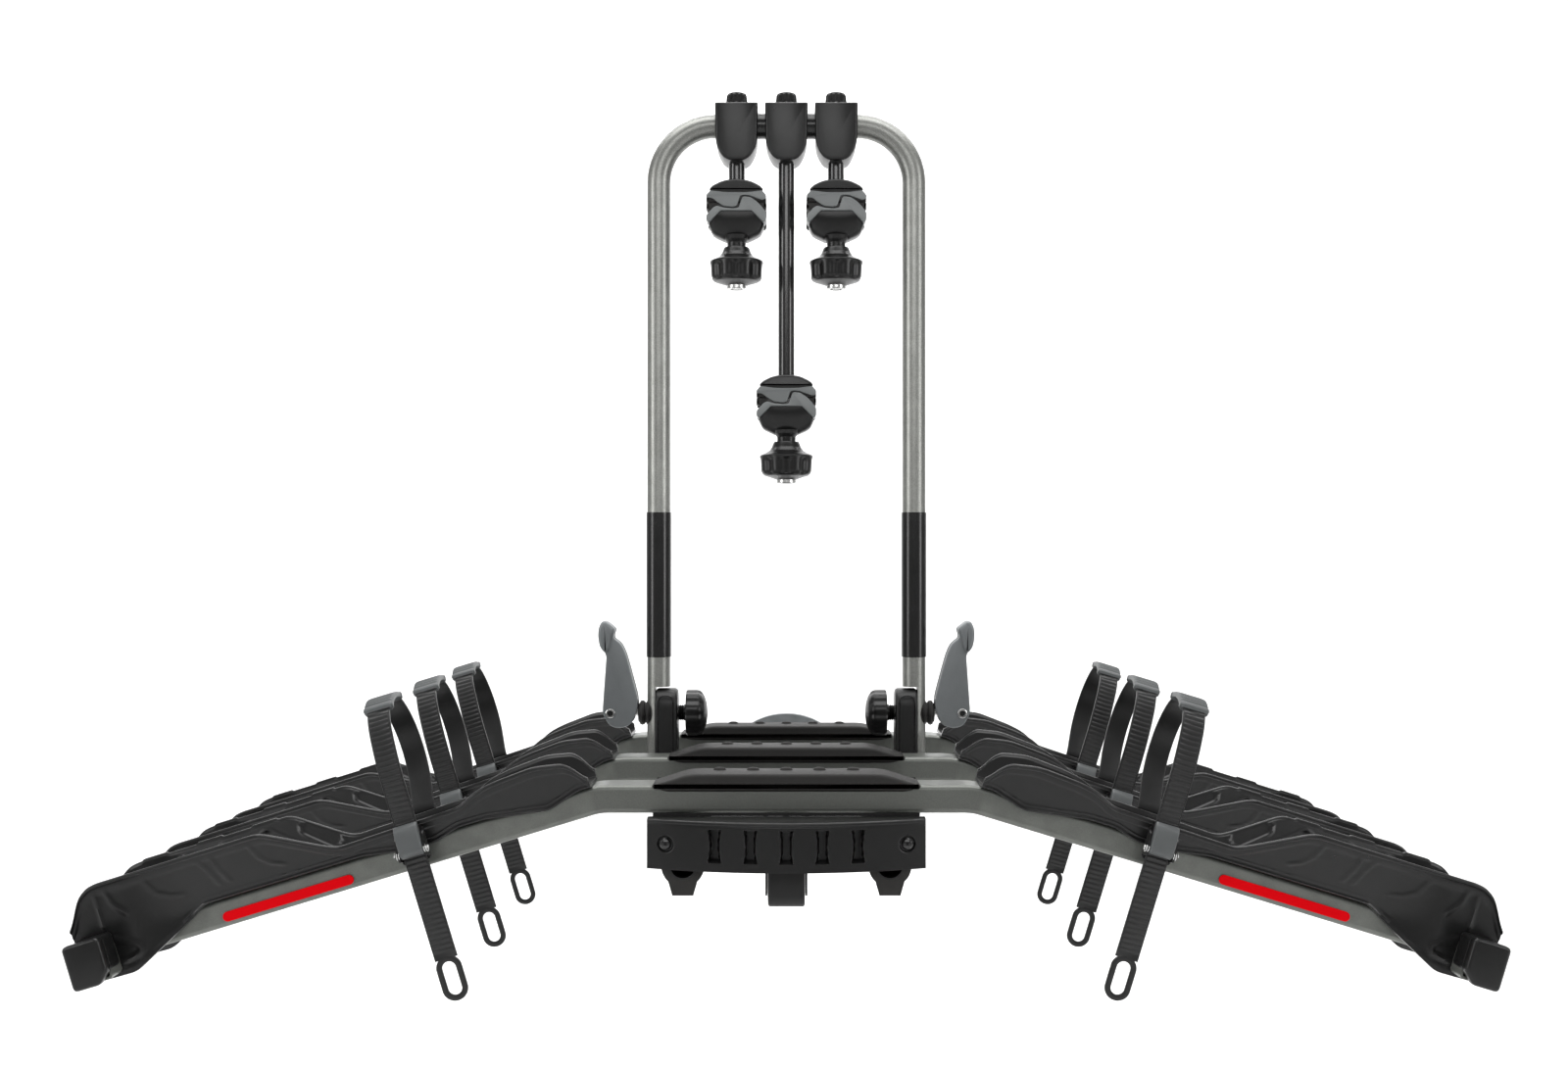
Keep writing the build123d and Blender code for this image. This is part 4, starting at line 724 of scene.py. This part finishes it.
# %% Heads and their hand screws
HEAD = soften(
    [(-24.3, 22), (24.3, 22), (24.3, 17), (23.9, -8), (23.2, -26), (13.5, -44), (-13.5, -44), (-23.2, -26),
     (-23.9, -8), (-24.3, 17)],
    [1.6, 1.6, 3, 8, 12, 9, 9, 12, 8, 3], steps=6,
)


def make_head(name, x):
    """The block, crowned towards the front, and the fluted screw above it."""
    rings = pillow(HEAD, MAST_Y - 22.5, MAST_Y + 22.5, 2.6)
    crown = 1 + 0.12 * (1 - (rings[..., 0] / 24.5) ** 2)
    rings[..., 2] = MAST_Y + (rings[..., 2] - MAST_Y) * crown
    put(f"head_block_{name}", [facing(rings, x, BAR_Z)], FINISHES["black_plastic"], f"arm_{name}",
        [f"head_{name}"], crease=50)
    screw = turned([(0, 0.4), (0, 12.6), (1, 12.8), (11.5, 11.7), (14, 10.4), (15.2, 7.5), (15.5, 0.4)],
                   12, 1.1, (1.0, 13.5))
    put(f"head_screw_{name}", [upright(screw, x, MAST_Y, 821.4)], FINISHES["black_plastic"],
        f"head_knob_{name}",
        [f"head_knob_{name}"])


for name, (x, _) in ARMS.items():
    make_head(name, x)
print("heads made")

# %% Jaws
GROOVE_Y, GROOVE = 11.0, 10.3
UPPER_BAND = soften(
    [(-33.8, 8), (-29, 13), (29, 13), (33.8, 8), (33.8, 3.5), (29, 2), (22, 4.5), (14, 7.4), (8, 7.6),
    (4.4, 6.6),
     (2.8, 1.5), (0.6, -4.6), (-4, -5.8), (-14, -4.8), (-22, 0.2), (-27, 4.2), (-33.8, 5)], 1.8, steps=4,
)
LOWER_BAND = soften(
    [(-33.8, -15), (-33.8, -20.5), (-31.2, -23.5), (-17.5, -9.8), (17.5, -9.8), (31.2, -23.5),
    (33.8, -20.5),
     (33.8, -12), (29, -5.5), (23, 0.6), (16, 5.0), (9, 6.0), (6.8, 4.9), (5.0, 0), (2.8, -6.8), (-3, -7.8),
     (-14, -6.8), (-22, -4.4), (-26, -6.5)], 1.8, steps=4,
)
DOME = soften(
    [(-29, 12), (-30.5, 14.5), (-27, 18.5), (-15, 24.6), (0, 26.2), (15, 24.6), (27, 18.5),
    (30.5, 14.5), (29, 12),
     (14, 9.8), (-14, 9.8)], [2, 2, 4, 7, 8, 7, 4, 2, 2, 7, 7], steps=5,
)


def core(way, depth_line, wide):
    """Rings across the jaw: each is its side outline, with half of the tube groove cut into the parting
    face."""
    across = wide * np.sin(np.linspace(-np.pi / 2, np.pi / 2, 44))
    reach = soft_line(np.abs(across), depth_line, 2.0)
    end = np.sqrt(np.clip(1 - (np.abs(across) / wide) ** 10, 0, 1))
    arc = np.radians(np.linspace(174, 6, 16))
    rings = []
    for x, deep, share in zip(across, reach, end):
        corners = [(-22.5, 0.4), (-23.0, 0.42 * deep), (-15.5, deep), (12, deep), (26, 0.42 * deep),
            (26.3, 0.4)]
        groove = [(GROOVE_Y - GROOVE * np.cos(a), GROOVE * np.sin(a) + 0.2) for a in arc]
        cut = [0.6, 5, 7, 7, 5, 0.6] + [0.2] * len(groove)
        outline = soften(corners + groove, cut, steps=4)
        outline[:, 0] = 1.5 + (outline[:, 0] - 1.5) * (0.94 + 0.06 * share)
        rings.append(np.column_stack([np.full(len(outline), x), outline[:, 0], way * outline[:, 1]]))
    return np.array(rings)


def liner(way):
    """Rubber that lines the jaw: short blocks at both sides whose outer ends are saw teeth."""
    skins = []
    for side in (-1, 1):
        teeth = [(34.0 if k % 2 else 31.2, way * (0.5 + 0.75 * k)) for k in range(11)]
        outline = soften([(21, way * 0.5)] + teeth + [(21, way * 8)], 0.25, steps=2) * [side, 1]
        skins.append((outline, (-23.5, 0.4)))
        skins.append((outline, (21.6, 26.5)))
    return skins


def make_jaws(name, x, parting):
    """Two cores with the groove between them, black dome, grey bands and rubber lining."""
    ends = ((-25.6, 0.4), (21.6, 27.0))
    for way, outline, wide, line, body, node in (
        (1, UPPER_BAND, 31.5, [(0, 25), (14, 23.5), (27, 17.5), (31.5, 12)], f"arm_{name}",
        f"jaw_upper_{name}"),
        (-1, LOWER_BAND, 30.8, [(0, 42), (12, 41.5), (24, 36), (29, 32), (30.8, 24)], f"jaw_{name}",
         f"jaw_lower_{name}"),
    ):
        rings = core(way, line, wide) + np.array([x, MAST_Y, parting])
        skins = [skin(rings)]
        if way > 0:
            skins += [facing(pillow(DOME, MAST_Y - 26.6, MAST_Y + 0.4, 3.2), x, parting)]
        else:
            neck = turned([(-49, 0.4), (-49, 10.4), (-44, 10.6), (-40, 13.5), (-36, 15), (-36, 0.4)])
            skins += [upright(neck, x, MAST_Y - 9.0, parting)]
        put(f"{node}_body", skins, FINISHES["black_plastic"], body, [node], crease=48)
        bands = [facing(pillow(outline, MAST_Y + a, MAST_Y + b, 0.9), x, parting) for a, b in ends]
        put(f"{node}_band", bands, CLAMP_GREY, body)
        rubber = [facing(pillow(o, MAST_Y + a, MAST_Y + b, 0.3), x, parting) for o, (a, b) in liner(way)]
        put(f"{node}_liner", rubber, FINISHES["black_rubber"], body)


for name, (x, parting) in ARMS.items():
    make_jaws(name, x, parting)
print("jaws made")

# %% Clamp knobs
for name, (x, parting) in ARMS.items():
    lobed = turned(
        [(0, 0.4), (0, 14), (-0.6, 14.5), (-3, 15.5), (-6, 16.6), (-9.5, 19), (-12, 22.5), (-14, 27),
        (-15.4, 29.8),
         (-17, 30.5), (-34, 29.5), (-36.5, 28), (-38.5, 25), (-41, 17), (-43, 11.4), (-43.5, 0.4)],
        8, 3.4, (-18, -38.0),
    )
    put(f"lobed_knob_{name}", [upright(lobed, x, MAST_Y - 9.0, parting - 49.4)], FINISHES["black_plastic"],
        f"clamp_knob_{name}", [f"clamp_knob_{name}"], crease=32)
    lock = turned([(-43, 0.4), (-43, 11), (-46.6, 11), (-47.4, 10), (-47.4, 7), (-45.5, 6.4), (-45.5, 2.2),
                   (-46.8, 2.0), (-46.8, 0.4)])
    put(f"knob_lock_{name}", [upright(lock, x, MAST_Y - 9.0, parting - 49.4)], FINISHES["zinc_steel"],
        f"clamp_knob_{name}")
print("clamp knobs made")

# %% [markdown]
# ## Foot of the mast
#
# The mast turns on two bolts between black brackets. A hand knob tightens each bolt from inside and a
# forked cam lever locks it from outside, through a ribbed rubber cushion. The levers are cast, so every
# edge is rolled and the thumb paddle swells to both sides.

# %% Cam levers
PIVOT_Z, CAM_X = 128.0, 200.4
LEVER = soften(
    [(9.2, 0), (4.5, 67), (10.7, 74), (13.7, 86), (13, 97), (8.5, 106), (1, 102), (-5.6, 96), (-2.7, 86),
     (-11.6, 80), (-16.8, 69.5), (-22, 51.7), (-31, 17.5), (-31, 4), (-24, -13), (-11, -17.3), (1, -14.6)],
    [6, 5, 5, 6, 5, 4, 4, 3, 4, 5, 6, 9, 9, 8, 8, 7, 7], steps=5,
)
PADDLE = soften(
    [(4.4, 67), (11.5, 74), (14.2, 86), (13.4, 98), (8.8, 106.2), (1.5, 102.6), (-4.6, 96.4),
    (-1.2, 86), (0.2, 76)],
    [4, 6, 7, 6, 4, 4, 3, 5, 5], steps=6,
)
WEB = LEVER[LEVER[:, 1] > 12]


def make_cam_lever(name, side):
    """Two cheeks with a web between them, the swollen paddle, and an eyelet on each end of the pin, with a
    black disc in each eyelet that is painted shade for its hole.
    """
    def place(outline, low, high, edge):
        rings = pillow(outline, MAST_Y + low, MAST_Y + high, edge)
        return facing(rings * [side, 1, 1], side * CAM_X, PIVOT_Z)

    cast = [place(LEVER, -11, -4.9, 1.5), place(LEVER, 4.9, 11, 1.5),
        place(inset(WEB, 0.6), -5.4, 5.4, 0.4),
            place(PADDLE, -13.6, 13.6, 3.4)]
    put(f"cam_casting_{name}", cast, FINISHES["lever_grey"], f"cam_lever_{name}",
        [f"cam_lever_{name}"], crease=42)
    eyelet = turned([(0, 0.3), (0, 5.6), (0.8, 5.4), (1.2, 4.6), (1.2, 3.5), (0.3, 3.1), (0.3, 0.3)],
        sides=48)
    metal = []
    for way in (-1, 1):
        at = np.stack([side * CAM_X + eyelet[..., 0], MAST_Y + way * (10.9 + eyelet[..., 2]),
                       PIVOT_Z + eyelet[..., 1]], -1)
        metal.append(skin(at))
    put(f"cam_eyelets_{name}", metal, FINISHES["zinc_steel"], f"cam_lever_{name}")
    # Painted shade: a black disc set in the middle of each eyelet stands for the dark hole, not for a black
    # end of the pin.
    hole_shade_disc = turned([(0, 0.3), (0, 3.0), (0.5, 2.9), (0.5, 0.3)], sides=32)
    dark = [skin(np.stack([side * CAM_X + hole_shade_disc[..., 0], MAST_Y + way * (11.0 + hole_shade_disc[..., 2]),
                           PIVOT_Z + hole_shade_disc[..., 1]], -1)) for way in (-1, 1)]
    put(f"cam_eyelet_hole_shade_{name}", dark, FINISHES["frame_black"], f"cam_lever_{name}")


for name, side in SIDES.items():
    make_cam_lever(name, side)
print("cam levers made")

# %% Knobs, cushions and brackets
BRACKET = soften([(-22.5, 63), (22.5, 63), (22.5, 156), (-22.5, 156)], [1, 1, 21, 21], steps=14)
cushions, brackets = [], []
for name, side in SIDES.items():
    knob = turned(
        [(90, 0.4), (90.1, 4), (91.2, 12), (93.4, 18.5), (96.5, 23.6), (99, 25.4), (102, 26), (113, 26),
         (114.3, 25), (114.5, 22), (114.2, 12), (114.4, 9), (117, 9.2), (118, 8.0), (119, 9.2),
         (120, 8.0), (121, 9.2),
         (122, 8.0), (123.4, 9), (123.5, 0.4)], 10, 1.3, (94.0, 116.0),
    )
    put(f"pivot_knob_{name}", [lying(knob, side, MAST_Y, PIVOT_Z)], FINISHES["black_plastic"],
        f"mast_knob_{name}",
        [f"mast_knob_{name}"], crease=32)
    ridged = turned([(154, 0.4), (154, 10.5), (155, 13.2), (157.5, 14), (159.6, 13), (160.2, 11.6),
        (161.2, 11.6),
                     (162, 13.2), (164.5, 14.2), (167, 13.2), (167.8, 11), (169, 10.2), (169, 0.4)])
    cushions.append(lying(ridged, side, MAST_Y, PIVOT_Z))
    rings = pillow(BRACKET, 124, 149, 3.6)
    brackets.append(skin(np.stack([side * rings[..., 2], MAST_Y + rings[..., 0], rings[..., 1]], -1)))
    bead = soften([(128, 64), (128, 149), (145, 149), (145, 64)], [0.1, 7, 7, 0.1], steps=8)
    flat = np.stack([side * bead[:, 0], 0 * bead[:, 0] + MAST_Y - 22.4, bead[:, 1]], -1)
    brackets.append(tube(flat, 0.9, 8))
    foot = pillow(soften([(-26, -14), (26, -14), (26, 14), (-26, 14)], 4), 63, 67, 0.8)
    brackets.append(skin(np.stack([side * 111 + foot[..., 1], MAST_Y + foot[..., 0], foot[..., 2]], -1)))
put("cushion_rings", cushions, FINISHES["black_rubber"], BODY_OF["pivot_cushions"],
    ["pivot_cushions"])
put("bracket_columns", brackets, FINISHES["frame_black"], BODY_OF["mast_brackets"],
    ["mast_brackets"], crease=50)
print("foot of the mast made")

# %% [markdown]
# ## Centre frame and beams
#
# Rubber pads with grip bumps cover the middle of the beams. A bowed moulding closes the front of the frame:
# its five waisted pockets and its screw recesses are depths taken from one curved wall, so their edges
# catch the light as a mould's would. The foot pedal and the caps on the tie bars are solid mouldings with
# rolled edges.

# %% Pads
PAD = soften([(-130, 89.5), (-93, 101), (93, 101), (130, 89.5), (116, 84), (-116, 84)],
    [3, 9, 9, 3, 5, 5], steps=6)
BUMP_PITCH = 32.4
pads = []
for row_y in ROWS.values():
    pads.append(facing(pillow(PAD, row_y - 22.5, row_y + 22.5, 3.2), 0, 0))
    for k in range(5):
        bump = turned([(99.5, 0.4), (99.5, 1.0), (101.4, 0.98), (102.9, 0.72), (103.4, 0.4),
            (103.45, 0.02)], sides=40)
        wide = bump * [6.5, 3.6, 1]
        pads.append(upright(wide, (k - 2) * BUMP_PITCH, row_y + 9.0, 0))
put("grip_pads", pads, FINISHES["black_rubber"], BODY_OF["centre_pads"], ["centre_pads"])
print("pads made")

# %% Frame cover
COVER_HALF, COVER_BOW, COVER_RISE, COVER_BACK = 132.0, -760.0, 25.0, -722.0
COVER_LOW, COVER_TOP, COVER_WALL = 14.0, 61.0, 3.0
SLOT_PITCH, SLOT_Z, SCREW_X, SCREW_SEAT_Y = 33.6, 38.0, 114.0, -738.8


def cover_depth(x, z):
    """Depth taken out of the front wall: five pockets that narrow at mid height, and two round screw
    recesses."""
    beside = np.abs(x - SLOT_PITCH * np.clip(np.round(x / SLOT_PITCH), -2, 2))
    waist = 4.3 + 1.7 * ((z - SLOT_Z) / 15.0) ** 2
    inside = np.minimum(waist - beside, 15.0 - np.abs(z - SLOT_Z))
    recess = 7.6 - np.hypot(np.abs(x) - SCREW_X, z - SLOT_Z)
    groove = 0.6 * np.clip(1 - np.abs(z - 57.0) / 0.9, 0, 1)
    return 10.0 * ease((inside + 0.6) / 1.9) + 3.0 * ease((recess + 0.4) / 1.2) + groove


x = np.linspace(-COVER_HALF, COVER_HALF, 353)[:, None]
z = np.linspace(COVER_LOW, COVER_TOP, 64)[None]
radius = (COVER_HALF**2 + COVER_RISE**2) / (2 * COVER_RISE)
bow = COVER_BOW + radius - np.sqrt(radius**2 - x**2)
roll = 2.2 * (1 - np.sqrt(np.clip(1 - (np.clip(z - COVER_TOP + 2.5, 0, 2.5) / 2.5) ** 2, 0, 1)))
depth = cover_depth(x, z)
front, back = bow + depth + roll, bow + depth + COVER_WALL
shelf = np.full((len(x), 2), COVER_BACK)
y = np.concatenate([front, shelf, back[:, ::-1][:, 5:]], 1)
up = np.concatenate([z, [[COVER_TOP, COVER_TOP - COVER_WALL]], z[:, ::-1][:, 5:]], 1) + 0 * y
wall = skin(np.stack([x + 0 * y, y, up], -1))
put("bowed_cover", [wall], FINISHES["black_plastic"], BODY_OF["frame_cover"],
    ["frame_cover"],
    crease=50)

screws = []
for side in SIDES.values():
    head = turned([(0, 0.3), (0, 5.5), (1.6, 5.4), (2.7, 4.2), (3.2, 2.6), (3.3, 1.6), (2.2, 0.5),
        (2.2, 0.3)], 4, 0.9,
                  (2.0, 6.0), sides=64)
    at = np.stack([side * SCREW_X + head[..., 0], SCREW_SEAT_Y - head[..., 2], SLOT_Z + head[..., 1]], -1)
    screws.append(skin(at))
put("cover_screw_heads", screws, FINISHES["rod_black"], BODY_OF["cover_screws"],
    ["cover_screws"])
print("cover made")

# %% Foot pedal and tie bar caps
TREAD = soften(
    [(-728, 12), (-728, -20), (-722, -26), (-710, -26), (-694, 0), (-694, 12), (-704, 22), (-714, 22)],
    [4, 4, 4, 4, 6, 4, 5, 5],
)
rings = pillow(TREAD, -17.8, 17.8, 2.6)
tread = skin(np.stack([rings[..., 2], rings[..., 0], rings[..., 1]], -1))
put("pedal_tread", [tread], FINISHES["black_plastic"], "foot_pedal", ["foot_pedal"],
    crease=50)

TIE_U, TIE_N = 483.0, 11.6
CAP = soften([(-7, -21.5), (18, -21.5), (18, 21.5), (-18, 21.5), (-18, -10.5)], [3, 5, 5, 5, 3], steps=6)
caps = []
for side in SIDES.values():
    for end_y, way in ((-768.0, -1), (-232.0, 1)):
        for share, near_y, far_y, edge in ((1.0, 0.2, 12.0, 3.4), (0.955, -19.0, 1.0, 0.8)):
            span = sorted((end_y + way * near_y, end_y + way * far_y))
            rings = pillow(CAP * share, *span, edge)
            caps.append(skin(on_wing(side, TIE_U + rings[..., 0], TIE_N + rings[..., 1], rings[..., 2])))
put("end_caps", caps, FINISHES["black_plastic"], BODY_OF["tie_bar_caps"], ["tie_bar_caps"])
print("pedal and caps made")

# %% [markdown]
# ## Stage, light and camera
#
# Black plastic shows its shape only through what it reflects, so the light is a few large soft panels, and
# most of the surroundings stay dimmer than the pale floor and background that the camera sees. The camera
# stands low and straight in front, 2.2 metres away, at the height of the mast's lower third.

# %% Floor and backdrop
FLOOR_Z = -0.62


def make_floor():
    """A pale sheet: flat under the rack, then swept up behind it by a quarter circle of radius 1.5
    metres."""
    turn = np.linspace(0, np.pi / 2, 24)
    y = np.concatenate([[-6.0, 2.2], 2.2 + 1.5 * np.sin(turn[1:]), [3.7]])
    z = np.concatenate([[0, 0], 1.5 * (1 - np.cos(turn[1:])), [6.0]]) + FLOOR_Z
    x = np.array([-9.0, 9.0])
    points = np.stack(np.broadcast_arrays(x[None], y[:, None], z[:, None]), -1)
    points, faces = points.reshape(-1, 3), skin(points)[1][:-2]
    faces = [f for f in faces if f[3] == f[0] + 1]
    mesh = bpy.data.meshes.new("floor")
    mesh.from_pydata(points, [], faces)
    mesh.shade_smooth()
    paper = bpy.data.materials.new("pale paper")
    paper.use_nodes = True
    shader = paper.node_tree.nodes["Principled BSDF"]
    shader.inputs["Base Color"].default_value = (0.86, 0.86, 0.86, 1)
    shader.inputs["Roughness"].default_value = 0.9
    mesh.materials.append(paper)
    sheet = bpy.data.objects.new("floor", mesh)
    bpy.context.scene.collection.objects.link(sheet)
    return sheet


floor = make_floor()

# %% Soft panels and surroundings

def panel(name, place, towards, size, watts):
    """A rectangular soft light at a place, turned to face a point."""
    lamp = bpy.data.lights.new(name, "AREA")
    lamp.shape = "RECTANGLE"
    lamp.size, lamp.size_y = size
    lamp.energy = watts
    holder = bpy.data.objects.new(name, lamp)
    holder.location = place
    holder.rotation_euler = (Vector(towards) - Vector(place)).to_track_quat("-Z", "Y").to_euler()
    bpy.context.scene.collection.objects.link(holder)
    return holder


panel("overhead", (0.0, -0.9, 2.6), (0, -0.5, 0.1), (3.2, 1.4), 66)
panel("left side", (-2.6, -1.9, 0.9), (0, -0.5, 0.2), (0.8, 2.0), 30)
panel("right side", (2.6, -1.9, 0.9), (0, -0.5, 0.2), (0.8, 2.0), 30)
panel("front fill", (0.0, -3.6, 1.5), (0, -0.5, 0.2), (2.0, 0.7), 20)
panel("backdrop wash", (0.0, 1.2, 3.4), (0, 3.6, 0.6), (6.0, 1.0), 260)
world = bpy.data.worlds.new("studio")
world.use_nodes = True
bpy.context.scene.world = world
sky = world.node_tree.nodes["Background"]
sky.inputs["Color"].default_value = (1, 1, 1, 1)
sky.inputs["Strength"].default_value = 0.30

# %% Camera
lens = bpy.data.cameras.new("camera")
lens.sensor_width = 36.0
lens.lens = 36.34
lens.shift_x, lens.shift_y = -0.0015, 0.0072
camera = bpy.data.objects.new("camera", lens)
camera.location = (0.0, -2.232, 0.320)
camera.rotation_euler = (np.pi / 2, 0, 0)
bpy.context.scene.collection.objects.link(camera)
bpy.context.scene.camera = camera
bpy.context.scene.view_settings.view_transform = "Standard"

# %% Update the scene
bpy.context.view_layer.update()
